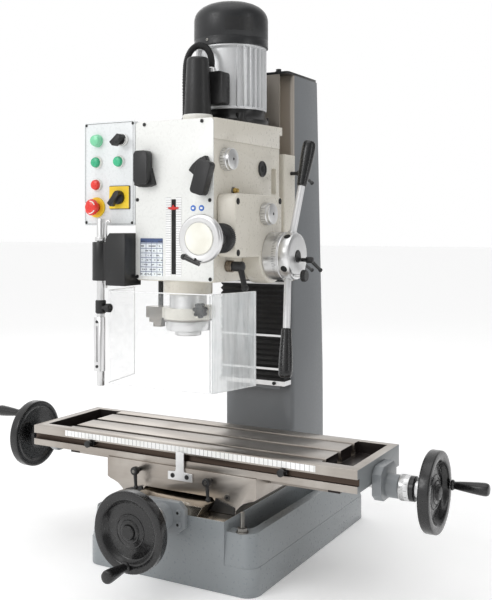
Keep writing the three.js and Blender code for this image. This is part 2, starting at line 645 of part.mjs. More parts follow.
function guardPole() {
  const pole = rod('z', ...POLE, 388, 747, 8.5, 20);
  const collar = rod('z', ...POLE, 699, 707, 12.5, 20);
  const rail = block(-160, -153.5, -309, -302.8, 420, 536);
  const web = block(-166, -156, -308, -302.8, 424, 532);
  const strip = block(-176.5, -159.5, -313, -306, 420, 536);
  const slot = block(-170.5, -165.5, -314, -309, 440, 516);
  return cut(union(pole, collar, rail, web, strip), slot);
}

function guardShield() {
  const t = 4;
  const front = [];
  for (let i = 0; i <= 12; i += 1) {
    const x = -150 + (255 * i) / 12;
    const bow = 5 * (1 - ((x + 22.5) / 127.5) ** 2);
    front.push([x, -297 - bow]);
  }
  const outer = [[-177, -165], [-156, -290], [-154, -294], ...front, [108, -294], [110, -290], [139, -165]];
  const inner = [[135, -165], [106, -289], [104, -292.5]];
  const back = front.slice().reverse().map(([x, y]) => [x, y + t]).filter(([x]) => x > -148 && x < 103);
  const left = [[-150, -292.5], [-152, -289], [-173, -165]];
  return prism('z', [...outer, ...inner, ...back, ...left], 393, 593);
}

// ---- way cover ---------------------------------------------------------
function bellowsOutline(x, y) {
  return [
    [-x, COL_FRONT_Y - GAP], [-x, y], [x, y], [x, COL_FRONT_Y - GAP], [74.5, COL_FRONT_Y - GAP],
    [74.5, DOVE_Y - GAP], [-74.5, DOVE_Y - GAP], [-74.5, COL_FRONT_Y - GAP],
  ];
}

// ---- assembly ----------------------------------------------------------
add('base_casting', baseCasting(), 'grey');
add('column', column(), 'grey');
add('column_cap', columnCap(), 'black');
add('z_screw', zScrew(), 'steel');
add('y_bracket', yBracket(), 'grey');

add('y_screw', yScrew(), 'silver');
add('y_handwheel', handwheel('y', 0, Y_SCREW_Z, -437, -1, 11.1), 'black');
add('y_grip', spun([0, -438.5, Y_SCREW_Z - 64], [0, -600, Y_SCREW_Z - 64], gripProfile(67)), 'black');

add('saddle', saddle(), 'ground');
add('saddle_lock_left', saddleLock(-99), 'black');
add('saddle_lock_right', saddleLock(80), 'black');

add('table', table(), 'ground');
add('x_bracket_right', xBracket(1), 'grey');
add('x_bracket_left', xBracket(-1), 'grey');
add('table_stop_left', tableStop(-235), 'steel');
add('table_stop_right', tableStop(243), 'steel');

add('x_screw', xScrew(), 'silver');
add('x_handwheel_right', handwheel('x', X_SCREW_Y, X_SCREW_Z, 524, 1, 10), 'black');
add('x_handwheel_left', handwheel('x', X_SCREW_Y, X_SCREW_Z, -514, -1, 10), 'black');
add('x_grip_right', spun([525.5, X_SCREW_Y + 63.5, X_SCREW_Z], [900, X_SCREW_Y + 63.5, X_SCREW_Z], gripProfile(77)), 'black');
add('x_grip_left', spun([-515.5, X_SCREW_Y - 34, X_SCREW_Z + 54], [-900, X_SCREW_Y - 34, X_SCREW_Z + 54], gripProfile(75)), 'black');

add('bellows', prism('z', bellowsOutline(88, 76), 358, 591.7), 'rubber');

add('carriage', carriage(), 'cream');
add('carriage_lock_upper', clampLever(100 + GAP, 133, 87, 856, [129, 145.3, 835.3], 4.8), 'black');
add('carriage_lock_lower', clampLever(100 + GAP, 133, 87, 645.5, [129, 145.3, 624.8], 4.8), 'black');

add('head_casting', headCasting(), 'cream');
add('head_lid', headLid(), 'cream');
add('front_plate', frontPlate(), 'white');
add('feed_box', feedBox(), 'cream');
add('speed_lever_left', speedLever(-67, 848, 0, 0), 'black');
add('speed_lever_right', speedLever(82, 836, Math.PI - 0.3, Math.PI + 0.62), 'black');
add('dial_front', dial(-224, 870, HEAD_X), 'silver');
add('dial_side', dial(-128, 757, FEED_BOX_X), 'silver');
add('feed_hub', feedHub(), 'silver');
add('feed_grip_upper', feedGrip(1), 'black');
add('feed_grip_lower', feedGrip(-1), 'black');
add('thumbscrew', thumbscrew(), 'black');
add('hub_lock', hubLock(), 'black');
add('fine_feed_wheel', fineFeedWheel(), 'silver');
add('quill_lock', quillLock(), 'black');

add('quill', quill(), 'silver');
add('stop_collar', stopCollar(), 'cream');
add('star_knob', starKnob(), 'black');
add('spindle', spindle(), 'silver');

add('drawbar_cover', drawbarCover(), 'black');
add('motor_flange', motorFlange(), 'black');
add('motor_body', motorBody(), 'alu');
add('motor_fan_cover', motorFanCover(), 'black');
add('terminal_box', terminalBox(), 'black');
add('motor_conduit', conduit(), 'rubber');

add('control_box', controlBox(), 'white');
add('selector_switch', selector(-129, 917), 'black');
add('button_green_left', button(BUTTONS[0]), 'green');
add('button_green_right', button(BUTTONS[1]), 'green');
add('button_red', button(BUTTONS[2]), 'red');
add('emergency_stop', emergencyStop(STOP), 'red');
add('main_switch', mainSwitch(-138, 793), 'black');

add('guard_bracket', guardBracket(), 'black');
add('guard_pole', guardPole(), 'steel');
add('guard_shield', guardShield(), 'clear');

export default machine;
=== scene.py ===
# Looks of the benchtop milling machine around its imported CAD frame.
import math

import bmesh
import bpy
from mathutils import Matrix, Vector


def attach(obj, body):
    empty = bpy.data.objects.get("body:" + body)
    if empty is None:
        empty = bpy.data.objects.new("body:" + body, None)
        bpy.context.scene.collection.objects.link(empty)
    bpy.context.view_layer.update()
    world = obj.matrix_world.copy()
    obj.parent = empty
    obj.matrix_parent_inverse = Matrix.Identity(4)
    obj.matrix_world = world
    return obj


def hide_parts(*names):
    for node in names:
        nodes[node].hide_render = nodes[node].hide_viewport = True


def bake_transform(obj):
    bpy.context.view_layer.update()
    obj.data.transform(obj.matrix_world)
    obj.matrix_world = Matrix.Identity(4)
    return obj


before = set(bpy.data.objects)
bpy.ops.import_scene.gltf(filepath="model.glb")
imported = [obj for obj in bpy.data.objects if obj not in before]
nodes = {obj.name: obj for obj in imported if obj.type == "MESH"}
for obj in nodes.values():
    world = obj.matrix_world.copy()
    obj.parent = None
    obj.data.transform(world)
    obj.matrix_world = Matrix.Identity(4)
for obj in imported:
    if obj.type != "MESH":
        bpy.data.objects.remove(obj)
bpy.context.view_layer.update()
MM = 0.001

# places on the machine, in millimetres
X_AXIS = (-130, 214)  # y, z of the long feed screw
Y_AXIS = (0, 138)  # x, z of the cross feed screw
PLATE_FACE = -271  # y of the head's front plate and of the control panel
HEAD_SIDE = 96  # x of the head's right side
BOX_FACE = 140  # x of the feed box's right side
HUB_Y, HUB_Z = -90, 666
THUMB_Y, THUMB_Z = -109, 625.4
WHEEL_X, WHEEL_Z = 120, 706.5  # fine feed wheel
STAR_X, STAR_Z = 58.5, 556.3
STOP_X, STOP_Z = -200, 772  # emergency stop
QUILL_LOCK = (-214, 647)
GLASS = (-55, 859)
OIL_CUP = (-188, 806)
DRAWBAR_Y = -174
MOTOR_Y = -25
POLE = (-168, -300)  # guard pole
WIRE_X = -153.5

# limits of the painted and bare parts of the castings, in metres
TABLE_END_X = 0.3996
TROUGH_X = (0.3135, 0.3805)
TROUGH_TOP, TROUGH_FRONT = 0.2675, -0.2225
GROOVE_Z, GROOVE_Y = (0.2366, 0.2504), (-0.2495, -0.2405)
WAY_FRONT_Y, COVER_TOP_Z = 0.1215, 0.6
COLLAR_STEP_Z, COLLAR_ARM_X = 0.5335, -0.0545
BASE_WAY_Z, BASE_WAY_END_Y = 0.1432, 0.094
SHEET_FOLD_X = 0.1062
CHART_ROW, CHART_COLUMN, CHART_HEADER_Z = 0.0099, 0.014, 0.6955


# ---- materials -------------------------------------------------------------
def srgb(r, g, b):
    return tuple(
        (c / 12.92 if c <= 0.04045 else ((c + 0.055) / 1.055) ** 2.4)
        for c in (r / 255, g / 255, b / 255)
    ) + (1.0,)


class Look:
    """A node material whose colour and gloss vary over the surface."""

    def __init__(self, name):
        self.mat = bpy.data.materials.new(name)
        self.mat.use_nodes = True
        self.tree = self.mat.node_tree
        self.shader = self.tree.nodes["Principled BSDF"]
        self.coords = self.tree.nodes.new("ShaderNodeTexCoord")
        self.xyz = None

    def link(self, a, b):
        self.tree.links.new(a, b)

    def node(self, kind, **values):
        made = self.tree.nodes.new(kind)
        for key, value in values.items():
            setattr(made, key, value)
        return made

    def noise(self, scale, detail=3.0, stretch=(1, 1, 1), distortion=0.0):
        mapping = self.node("ShaderNodeMapping")
        mapping.inputs["Scale"].default_value = stretch
        self.link(self.coords.outputs["Object"], mapping.inputs["Vector"])
        made = self.node("ShaderNodeTexNoise")
        made.inputs["Scale"].default_value = scale
        made.inputs["Detail"].default_value = detail
        made.inputs["Distortion"].default_value = distortion
        self.link(mapping.outputs["Vector"], made.inputs["Vector"])
        return made.outputs["Fac"]

    def ramp(self, source, low, high, at=(0.35, 0.65)):
        made = self.node("ShaderNodeMapRange")
        made.inputs["From Min"].default_value = at[0]
        made.inputs["From Max"].default_value = at[1]
        made.inputs["To Min"].default_value = low
        made.inputs["To Max"].default_value = high
        self.link(source, made.inputs["Value"])
        return made.outputs["Result"]

    def mix(self, factor, a, b):
        made = self.node("ShaderNodeMix", data_type="RGBA")
        for value, socket in ((a, made.inputs[6]), (b, made.inputs[7])):
            if isinstance(value, tuple):
                socket.default_value = value
            else:
                self.link(value, socket)
        self.link(factor, made.inputs[0])
        return made.outputs[2]

    def mix_value(self, factor, a, b):
        made = self.node("ShaderNodeMix", data_type="FLOAT")
        for value, socket in ((a, made.inputs[2]), (b, made.inputs[3])):
            if isinstance(value, (int, float)):
                socket.default_value = value
            else:
                self.link(value, socket)
        self.link(factor, made.inputs[0])
        return made.outputs[0]

    def math(self, operation, a, b=0.0):
        made = self.node("ShaderNodeMath", operation=operation)
        for value, socket in ((a, made.inputs[0]), (b, made.inputs[1])):
            if isinstance(value, (int, float)):
                socket.default_value = value
            else:
                self.link(value, socket)
        return made.outputs[0]

    def axis(self, name):
        if self.xyz is None:
            self.xyz = self.node("ShaderNodeSeparateXYZ")
            self.link(self.coords.outputs["Object"], self.xyz.inputs[0])
        return self.xyz.outputs[name]

    def bump(self, *layers):
        """Layers of (height, strength, distance in metres)."""
        normal = None
        for height, strength, distance in layers:
            made = self.node("ShaderNodeBump")
            made.inputs["Strength"].default_value = strength
            made.inputs["Distance"].default_value = distance
            self.link(height, made.inputs["Height"])
            if normal is not None:
                self.link(normal, made.inputs["Normal"])
            normal = made.outputs["Normal"]
        self.link(normal, self.shader.inputs["Normal"])

    def set(self, **values):
        for key, value in values.items():
            self.shader.inputs[key.replace("_", " ")].default_value = value


def paint(name, color, rough=0.35, spread=0.94, casting=0.25, coat=0.25):
    look = Look(name)
    dark = tuple(c * spread for c in color[:3]) + (1.0,)
    broad = look.noise(9.0, 4.0)
    color_out = look.mix(look.ramp(broad, 0.0, 1.0, (0.3, 0.7)), color, dark)
    look.link(color_out, look.shader.inputs["Base Color"])
    fine = look.noise(160.0, 2.0)
    look.link(look.ramp(fine, rough - 0.06, rough + 0.08), look.shader.inputs["Roughness"])
    look.bump((broad, casting, 0.003), (fine, 0.05, 0.0004))
    look.set(Metallic=0.0, Coat_Weight=coat, Coat_Roughness=0.15)
    return look


def metal(name, color, rough=0.28, stretch=(1, 1, 1), tint=None, lines=0.25, scale=260.0):
    look = Look(name)
    dark = tint or tuple(c * 0.93 for c in color[:3]) + (1.0,)
    grain = look.noise(scale, 3.0, stretch)
    broad = look.noise(7.0, 3.0, distortion=0.6)
    base = look.mix(look.ramp(broad, 0.0, 1.0, (0.35, 0.7)), color, dark)
    finer = look.mix(look.ramp(grain, 0.0, 0.08), base, tuple(c * 0.6 for c in color[:3]) + (1.0,))
    look.link(finer, look.shader.inputs["Base Color"])
    look.link(look.ramp(grain, rough - 0.02, rough + 0.03), look.shader.inputs["Roughness"])
    look.bump((grain, lines, 0.0003))
    look.set(Metallic=1.0)
    return look


def plastic(name, color, rough=0.35, bump=0.15, scale=220.0, coat=0.0):
    look = Look(name)
    broad = look.noise(14.0, 3.0)
    light = tuple(min(1.0, c * 1.25 + 0.004) for c in color[:3]) + (1.0,)
    look.link(look.mix(look.ramp(broad, 0.0, 1.0), color, light), look.shader.inputs["Base Color"])
    fine = look.noise(scale, 2.0)
    look.link(look.ramp(fine, max(0.03, rough - 0.07), rough + 0.09),
        look.shader.inputs["Roughness"])
    look.bump((fine, bump, 0.0004))
    look.set(Metallic=0.0, Coat_Weight=coat, Coat_Roughness=0.08)
    return look


def masked(look, mask, color, rough, metallic):
    """Where the mask is 1, the look turns into another plain finish."""
    for key, value in (("Base Color", color), ("Roughness", rough), ("Metallic", metallic)):
        socket = look.shader.inputs[key]
        if socket.is_linked:
            before = socket.links[0].from_socket
        else:
            before = socket.default_value if not hasattr(socket.default_value,
                "__len__") else tuple(socket.default_value)
        mixer = look.mix if key == "Base Color" else look.mix_value
        look.link(mixer(mask, before, value), socket)


GREY = srgb(133, 137, 139)
grey_base = paint("grey_base", srgb(140, 145, 148), 0.33, casting=0.35)
grey_bracket = paint("grey_bracket", srgb(138, 142, 145), 0.36, casting=0.3)
grey_column = paint("grey_column", srgb(122, 125, 128), 0.36, casting=0.2)
cream = paint("cream_paint", srgb(219, 214, 202), 0.32, casting=0.12)
white_plate = paint("white_plate", srgb(238, 239, 236), 0.3, spread=0.98, casting=0.03)
panel_white = paint("panel_white", srgb(232, 235, 236), 0.3, spread=0.98, casting=0.03)
black_paint = paint("black_paint", srgb(22, 22, 23), 0.34, casting=0.1, coat=0.1)
matte_black = plastic("matte_black", srgb(24, 24, 25), 0.4, bump=0.04)
gloss_black = plastic("gloss_black", srgb(14, 14, 15), 0.26, bump=0.006, coat=0.2)
fan_black = plastic("fan_black", srgb(26, 27, 29), 0.36, bump=0.3, scale=300.0)
rubber = plastic("rubber_cloth", srgb(20, 20, 21), 0.6, bump=0.3, scale=420.0)
silver = metal("silver_steel", srgb(226, 226, 226), 0.3, lines=0.008, scale=90.0)
lever_rod = metal("lever_rod", srgb(236, 236, 237), 0.42, lines=0.008, scale=90.0)
lever_rod.set(Metallic=0.55)
steel = metal("dark_steel", srgb(128, 126, 122), 0.32, lines=0.1)
brass = metal("brass", srgb(205, 175, 105), 0.25)
alu = metal("motor_alu", srgb(222, 223, 224), 0.42, lines=0.01, scale=120.0)
alu.set(Metallic=0.6)
ground = metal(
    "ground_iron", srgb(184, 178, 171), 0.33, stretch=(0.06, 1.4, 1.0), tint=srgb(158, 150, 142),
    lines=0.05
)
ways = metal("ground_ways", srgb(170, 160, 148), 0.28, stretch=(1.0, 1.0, 0.08),
    tint=srgb(120, 108, 96), lines=0.08)
yellow = plastic("yellow_plate", srgb(238, 198, 42), 0.4)
red = plastic("red_plastic", srgb(222, 48, 38), 0.28, bump=0.05, coat=0.3)
green = plastic("green_plastic", srgb(52, 176, 128), 0.28, bump=0.05, coat=0.3)
lamp = plastic("lamp_green", srgb(120, 205, 160), 0.2, bump=0.05, coat=0.5)
white_plastic = plastic("white_plastic", srgb(236, 236, 230), 0.35, bump=0.05)
ivory = plastic("ivory_disc", srgb(238, 236, 224), 0.4, bump=0.05)
blue = plastic("blue_sign", srgb(60, 110, 190), 0.4, bump=0.03)
red_mark = plastic("red_mark", srgb(205, 40, 34), 0.4, bump=0.03)
# white and grey strips painted as the highlights on the guard sheet's cut edges and the shade along its
# fold
edge_highlight_look = plastic("sheet_edge_highlight", srgb(250, 251, 251), 0.25, bump=0.02)
fold_shade_look = plastic("sheet_fold_shade", srgb(150, 152, 154), 0.25, bump=0.02)
# near-black, used both for real dial marks and as painted shade in holes, sockets and the depth slot
dark_hole = plastic("dark_hole", srgb(12, 12, 13), 0.7, bump=0.1)

# painted ends of the table
masked(ground, ground.math("GREATER_THAN", ground.math("ABSOLUTE", ground.axis("X")), TABLE_END_X),
    GREY, 0.35, 0.0)
# dark floors and walls of the end troughs, then the dark stop groove along the front
trough = ground.math(
    "MULTIPLY",
    ground.math("MULTIPLY",
                ground.math("GREATER_THAN", ground.math("ABSOLUTE", ground.axis("X")), TROUGH_X[0]),
                ground.math("LESS_THAN", ground.math("ABSOLUTE", ground.axis("X")), TROUGH_X[1])),
    ground.math("MULTIPLY",
                ground.math("LESS_THAN", ground.axis("Z"), TROUGH_TOP),
                ground.math("GREATER_THAN", ground.axis("Y"), TROUGH_FRONT)),
)
masked(ground, trough, srgb(58, 52, 50), 0.3, 0.6)
groove = ground.math(
    "MULTIPLY",
    ground.math("MULTIPLY",
                ground.math("GREATER_THAN", ground.axis("Z"), GROOVE_Z[0]),
                ground.math("LESS_THAN", ground.axis("Z"), GROOVE_Z[1])),
    ground.math("MULTIPLY",
                ground.math("GREATER_THAN", ground.axis("Y"), GROOVE_Y[0]),
                ground.math("LESS_THAN", ground.axis("Y"), GROOVE_Y[1])),
)
masked(ground, groove, srgb(74, 62, 54), 0.35, 0.8)
# bare dovetail ways of the painted column, above the way cover
masked(
    grey_column,
    grey_column.math(
        "MULTIPLY",
        grey_column.math("LESS_THAN", grey_column.axis("Y"), WAY_FRONT_Y),
        grey_column.math("GREATER_THAN", grey_column.axis("Z"), COVER_TOP_Z),
    ),
    srgb(178, 170, 160), 0.36, 0.8,
)
# turned ring and steps below the cast collar
collar_cream = paint("collar_cream", srgb(226, 223, 213), 0.32, casting=0.2)
masked(
    collar_cream,
    collar_cream.math(
        "MAXIMUM",
        collar_cream.math("LESS_THAN", collar_cream.axis("Z"), COLLAR_STEP_Z),
        collar_cream.math("LESS_THAN", collar_cream.axis("X"), COLLAR_ARM_X),
    ),
    srgb(150, 146, 140), 0.3, 1.0,
)
# bare cross ways on the painted base
masked(
    grey_base,
    grey_base.math(
        "MULTIPLY",
        grey_base.math("GREATER_THAN", grey_base.axis("Z"), BASE_WAY_Z),
        grey_base.math("LESS_THAN", grey_base.axis("Y"), BASE_WAY_END_Y),
    ),
    srgb(176, 168, 156), 0.24, 1.0,
)


def clear_sheet():
    look = Look("clear_sheet")
    broad = look.noise(22.0, 4.0, distortion=1.2)
    scratches = look.noise(60.0, 4.0, (1.0, 1.0, 0.12), 0.4)
    haze = look.ramp(scratches, 0.05, 0.2, (0.4, 0.75))
    look.link(haze, look.shader.inputs["Roughness"])
    tint = look.mix(look.ramp(broad, 0.0, 1.0), srgb(250, 252, 252), srgb(240, 244, 245))
    look.link(tint, look.shader.inputs["Base Color"])
    clear_part = look.ramp(broad, 0.04, 0.09)
    # right of the fold the sheet is made more opaque white: a painted reflection on the side wing
    reflecting_wing = look.math("GREATER_THAN", look.axis("X"), SHEET_FOLD_X)
    look.link(look.mix_value(reflecting_wing, clear_part, look.ramp(scratches, 0.36, 0.62)),
        look.shader.inputs["Alpha"])
    look.set(Metallic=0.0, IOR=1.49, Specular_IOR_Level=0.6)
    look.mat.surface_render_method = "BLENDED"
    return look


clear = clear_sheet()


def ruled(name, base, line, pitch, width, axis):
    """White strip with dark division lines along one axis."""
    look = plastic(name, base, 0.4, bump=0.03)
    along = look.math("FRACT", look.math("DIVIDE", look.axis(axis), pitch))
    mask = look.math("LESS_THAN", along, width)
    masked(look, mask, line, 0.5, 0.0)
    return look


ruler_look = ruled("table_ruler", srgb(240, 240, 236), srgb(120, 120, 122), 0.01, 0.08, "X")
scale_look = ruled("depth_scale", srgb(236, 237, 236), srgb(150, 152, 156), 0.005, 0.14, "Z")


def chart_material():
    look = plastic("speed_chart", srgb(226, 231, 238), 0.4, bump=0.03)
    rows = look.math("LESS_THAN", look.math("FRACT", look.math("DIVIDE", look.axis("Z"), CHART_ROW)),
        0.12)
    columns = look.math("LESS_THAN", look.math("FRACT", look.math("DIVIDE", look.axis("X"), CHART_COLUMN)),
        0.07)
    header = look.math("GREATER_THAN", look.axis("Z"), CHART_HEADER_Z)
    words = look.noise(260.0, 0.0, (1.0, 1.0, 0.5))
    lines = look.math("LESS_THAN", look.math("ABSOLUTE",
        look.math("SUBTRACT", look.math("FRACT", look.math("DIVIDE", look.axis("Z"), CHART_ROW)),
            0.55)), 0.16)
    marks = look.math("MULTIPLY", lines, look.math("GREATER_THAN", words, 0.52))
    mask = look.math("MAXIMUM", look.math("MAXIMUM", rows, columns), header)
    masked(look, mask, srgb(70, 88, 130), 0.4, 0.0)
    masked(look, look.math("MULTIPLY", marks, 0.7), srgb(60, 62, 70), 0.4, 0.0)
    return look


chart_look = chart_material()


# ---- shapes ----------------------------------------------------------------
def carried(axis, u, v, h):
    """Point (u, v) of an outline, at height h along an axis."""
    if axis == "x":
        return Vector((h, u, v))
    if axis == "y":
        return Vector((u, h, v))
    return Vector((u, v, h))


class Shape:
    """Closed shells in millimetres that become one mesh."""

    def __init__(self):
        self.verts = []
        self.faces = []

    def shell(self, rings):
        start = len(self.verts)
        n = len(rings[0])
        for ring in rings:
            self.verts.extend(ring)
        for i in range(len(rings) - 1):
            for j in range(n):
                a = start + i * n + j
                b = start + i * n + (j + 1) % n
                self.faces.append((a, b, b + n, a + n))
        self.faces.append(tuple(start + j for j in reversed(range(n))))
        last = start + (len(rings) - 1) * n
        self.faces.append(tuple(last + j for j in range(n)))
        return self

    def frame_of(self, way):
        way = way.normalized()
        side = way.orthogonal().normalized()
        return side, way.cross(side)

    def spun(self, start, end, profile, sides=48):
        start, way = Vector(start), (Vector(end) - Vector(start)).normalized()
        a, b = self.frame_of(way)
        rings = []
        for r, h in profile:
            ring = []
            for i in range(sides):
                t = 2 * math.pi * i / sides
                ring.append(start + way * h + (a * math.cos(t) + b * math.sin(t)) * max(r, 0.01))
            rings.append(ring)
        return self.shell(rings)

    def turned(self, axis, u, v, profile, sides=64):
        start = carried(axis, u, v, 0)
        end = carried(axis, u, v, 1)
        return self.spun(start, end, profile, sides)

    def rod(self, axis, u, v, h0, h1, r, sides=40, edge=0.5):
        h0, h1 = min(h0, h1), max(h0, h1)
        e = min(edge, r * 0.4, (h1 - h0) * 0.4)
        return self.turned(axis, u, v, [(r - e, h0), (r, h0 + e), (r, h1 - e), (r - e, h1)], sides)

    def bar(self, start, end, r0, r1=None, sides=24):
        length = (Vector(end) - Vector(start)).length
        return self.spun(start, end, [(r0, 0), (r0 if r1 is None else r1, length)], sides)

    def ball(self, centre, r, sides=24):
        centre = Vector(centre)
        profile = []
        steps = sides // 2
        for i in range(steps + 1):
            t = math.pi * i / steps
            profile.append((r * math.sin(t), -r * math.cos(t)))
        return self.spun(centre, centre + Vector((0, 0, 1)), profile, sides)

    def prism(self, axis, outline, h0, h1):
        rings = [[carried(axis, u, v, h) for u, v in outline] for h in (h0, h1)]
        return self.shell(rings)

    def box(self, x0, x1, y0, y1, z0, z1):
        return self.prism("z", [(x0, y0), (x1, y0), (x1, y1), (x0, y1)], z0, z1)

    def tube(self, points, radius, sides=20, samples=160):
        rings = []
        route = smooth_route(points, samples)
        up = Vector((0, 1, 0))
        for i, p in enumerate(route):
            way = (route[min(i + 1, len(route) - 1)] - route[max(i - 1, 0)]).normalized()
            a = up.cross(way).normalized()
            b = way.cross(a)
            r = radius(i / (len(route) - 1)) if callable(radius) else radius
            rings.append([
                p + (a * math.cos(2 * math.pi * k / sides)
                     + b * math.sin(2 * math.pi * k / sides)) * r
                for k in range(sides)
            ])
        return self.shell(rings)

    def make(self, name, look, body, replaces=(), slot=None, angle=35, bevel=0.0, segments=2):
        mesh = bpy.data.meshes.new(name)
        mesh.from_pydata([tuple(c * MM for c in v) for v in self.verts], [], self.faces)
        mesh.validate()
        made = bpy.data.objects.new(name, mesh)
        bpy.context.collection.objects.link(made)
        outward(mesh)
        for polygon in mesh.polygons:
            polygon.use_smooth = True
        mesh.set_sharp_from_angle(angle=math.radians(angle))
        mesh.materials.append(look.mat)
        if bevel:
            soften(made, bevel, segments)
        if body:
            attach(made, body)
        if replaces:
            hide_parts(*replaces)
        return made


def outward(mesh):
    """Turns every shell's faces outwards."""
    work = bmesh.new()
    work.from_mesh(mesh)
    bmesh.ops.recalc_face_normals(work, faces=work.faces)
    work.to_mesh(mesh)
    work.free()


def smooth_route(points, samples):
    """Catmull-Rom curve through the points."""
    pts = [Vector(p) for p in points]
    pts = [pts[0] * 2 - pts[1]] + pts + [pts[-1] * 2 - pts[-2]]
    out = []
    spans = len(pts) - 3
    for s in range(samples + 1):
        t = s / samples * spans
        i = min(int(t), spans - 1)
        t -= i
        p0, p1, p2, p3 = pts[i:i + 4]
        out.append(0.5 * (
            2 * p1 + (p2 - p0) * t + (2 * p0 - 5 * p1 + 4 * p2 - p3) * t * t
            + (3 * p1 - p0 - 3 * p2 + p3) * t ** 3
        ))
    return out


def rounded(u0, u1, v0, v1, r, steps=8):
    points = []
    for cu, cv, start in ((u1 - r, v1 - r, 0), (u0 + r, v1 - r, 90), (u0 + r, v0 + r, 180),
        (u1 - r, v0 + r, 270)):
        for i in range(steps + 1):
            t = math.radians(start + 90 * i / steps)
            points.append((cu + r * math.cos(t), cv + r * math.sin(t)))
    return points


def soften(made, width, segments=2):
    bevel = made.modifiers.new("edges", "BEVEL")
    bevel.width = width * MM
    bevel.segments = segments
    bevel.limit_method = "ANGLE"
    bevel.angle_limit = math.radians(32)
    bevel.harden_normals = True


def dress(node, look, bevel=1.0, segments=2):
    """Gives a CAD node its finish and small rounded edges."""
    made = nodes[node]
    made.data.materials.clear()
    made.data.materials.append(look.mat)
    for polygon in made.data.polygons:
        polygon.use_smooth = True
    weld = made.modifiers.new("weld", "WELD")
    weld.merge_threshold = 0.00002
    flat = made.modifiers.new("flat", "DECIMATE")
    flat.decimate_type = "DISSOLVE"
    flat.angle_limit = math.radians(1.0)
    soften(made, bevel, segments)


def hexagon(shape, axis, u, v, h0, h1, r):
    outline = [(u + r * math.cos(math.pi * i / 3),
        v + r * math.sin(math.pi * i / 3)) for i in range(6)]
    return shape.prism(axis, outline, h0, h1)


def socket_screw(name, axis, u, v, face, out, r, body, look=None, depth=3.5):
    """Cylinder head screw standing out of a face, with a dark hexagon painted on it as the shade inside
    its socket.
    """
    head = Shape().rod(axis, u, v, face, face + out * depth, r, 28, 0.6)
    head.make(name, look or black_paint, body)
    hole = Shape()
    hexagon(hole, axis, u, v, face + out * (depth - 0.4), face + out * (depth + 0.06), r * 0.5)
    hole.make(name + "_socket", dark_hole, body)


# ---- camera, light and floor ----------------------------------------------
CAMERA_PLACE = (1.02658, -1.86045, 0.73021)
CAMERA_TURN = 29.73  # degrees about the vertical
CAMERA_LENS = 54.225  # mm
CAMERA_SHIFT = (0.0383, -0.1226)
camera_data = bpy.data.cameras.new("camera")
camera = bpy.data.objects.new("camera", camera_data)
bpy.context.collection.objects.link(camera)
camera.location = CAMERA_PLACE
camera.rotation_euler = (math.radians(90), 0, math.radians(CAMERA_TURN))
camera_data.sensor_width = 36
camera_data.lens = CAMERA_LENS
camera_data.shift_x, camera_data.shift_y = CAMERA_SHIFT
camera_data.clip_start = 0.05
bpy.context.scene.camera = camera
bpy.context.scene.view_settings.view_transform = "Standard"

floor_mesh = bpy.data.meshes.new("floor")
floor_mesh.from_pydata([(-30, -30, 0), (30, -30, 0), (30, 30, 0), (-30, 30, 0)], [], [(0, 1, 2, 3)])
floor = bpy.data.objects.new("floor", floor_mesh)
bpy.context.collection.objects.link(floor)
floor_look = plastic("floor", srgb(252, 252, 252), 0.8, bump=0.0)
floor_look.set(Emission_Color=(1.0, 1.0, 1.0, 1.0), Emission_Strength=0.16)
floor_mesh.materials.append(floor_look.mat)
floor.location = (0, 0, -0.0005)

world = bpy.data.worlds.new("world")
bpy.context.scene.world = world
world.use_nodes = True
# the sky is white on the left and dimmer on the right, like a studio with one bright side
sky = world.node_tree
sky_way = sky.nodes.new("ShaderNodeTexCoord")
sky_split = sky.nodes.new("ShaderNodeSeparateXYZ")
sky_side = sky.nodes.new("ShaderNodeMapRange")
sky_side.interpolation_type = "SMOOTHSTEP"
for socket, value in (("From Min", -0.15), ("From Max", 0.7), ("To Min", 1.0), ("To Max", 0.34)):
    sky_side.inputs[socket].default_value = value
sky.links.new(sky_way.outputs["Generated"], sky_split.inputs[0])
sky.links.new(sky_split.outputs["X"], sky_side.inputs["Value"])
sky.nodes["Background"].inputs["Color"].default_value = (1.0, 1.0, 1.0, 1.0)
sky.links.new(sky_side.outputs["Result"], sky.nodes["Background"].inputs["Strength"])


def area(name, place, target, size, power):
    data = bpy.data.lights.new(name, "AREA")
    data.energy = power
    data.shape = "RECTANGLE"
    data.size, data.size_y = size
    made = bpy.data.objects.new(name, data)
    bpy.context.collection.objects.link(made)
    made.location = place
    way = Vector(target) - Vector(place)
    made.rotation_euler = way.to_track_quat("-Z", "Y").to_euler()


area("key", (-1.4, -3.2, 2.4), (0, 0, 0.6), (1.6, 1.6), 26)
area("side", (3.2, -0.4, 1.7), (0, 0, 0.6), (0.7, 2.0), 9)
area("top", (0.2, -0.6, 3.4), (0, 0, 0.5), (2.2, 2.2), 12)
area("back", (-2.2, 2.6, 2.4), (0, 0, 0.7), (1.4, 1.8), 8)

# ---- castings kept from the frame -------------------------------------------
dress("base_casting", grey_base, 2.0, 3)
dress("column", grey_column, 1.5)
dress("column_cap", black_paint, 0.8)
dress("z_screw", steel, 0.5)
dress("y_bracket", grey_bracket, 1.0)
dress("saddle", ground, 0.7)
dress("table", ground, 0.7)
dress("x_bracket_right", grey_bracket, 1.2)
dress("x_bracket_left", grey_bracket, 1.2)
dress("carriage", cream, 1.2)
dress("head_casting", cream, 1.5)
dress("head_lid", cream, 1.5)
dress("front_plate", white_plate, 0.5)
dress("feed_box", cream, 2.5, 3)
dress("control_box", panel_white, 0.8)
dress("guard_bracket", black_paint, 1.5)
dress("stop_collar", collar_cream, 0.8)
dress("quill", silver, 0.5)
dress("spindle", silver, 0.5)
dress("table_stop_left", black_paint, 0.5)
dress("table_stop_right", black_paint, 0.5)
dress("guard_shield", clear, 0.0)
dress("guard_pole", silver, 0.5)
dress("terminal_box", matte_black, 1.2)
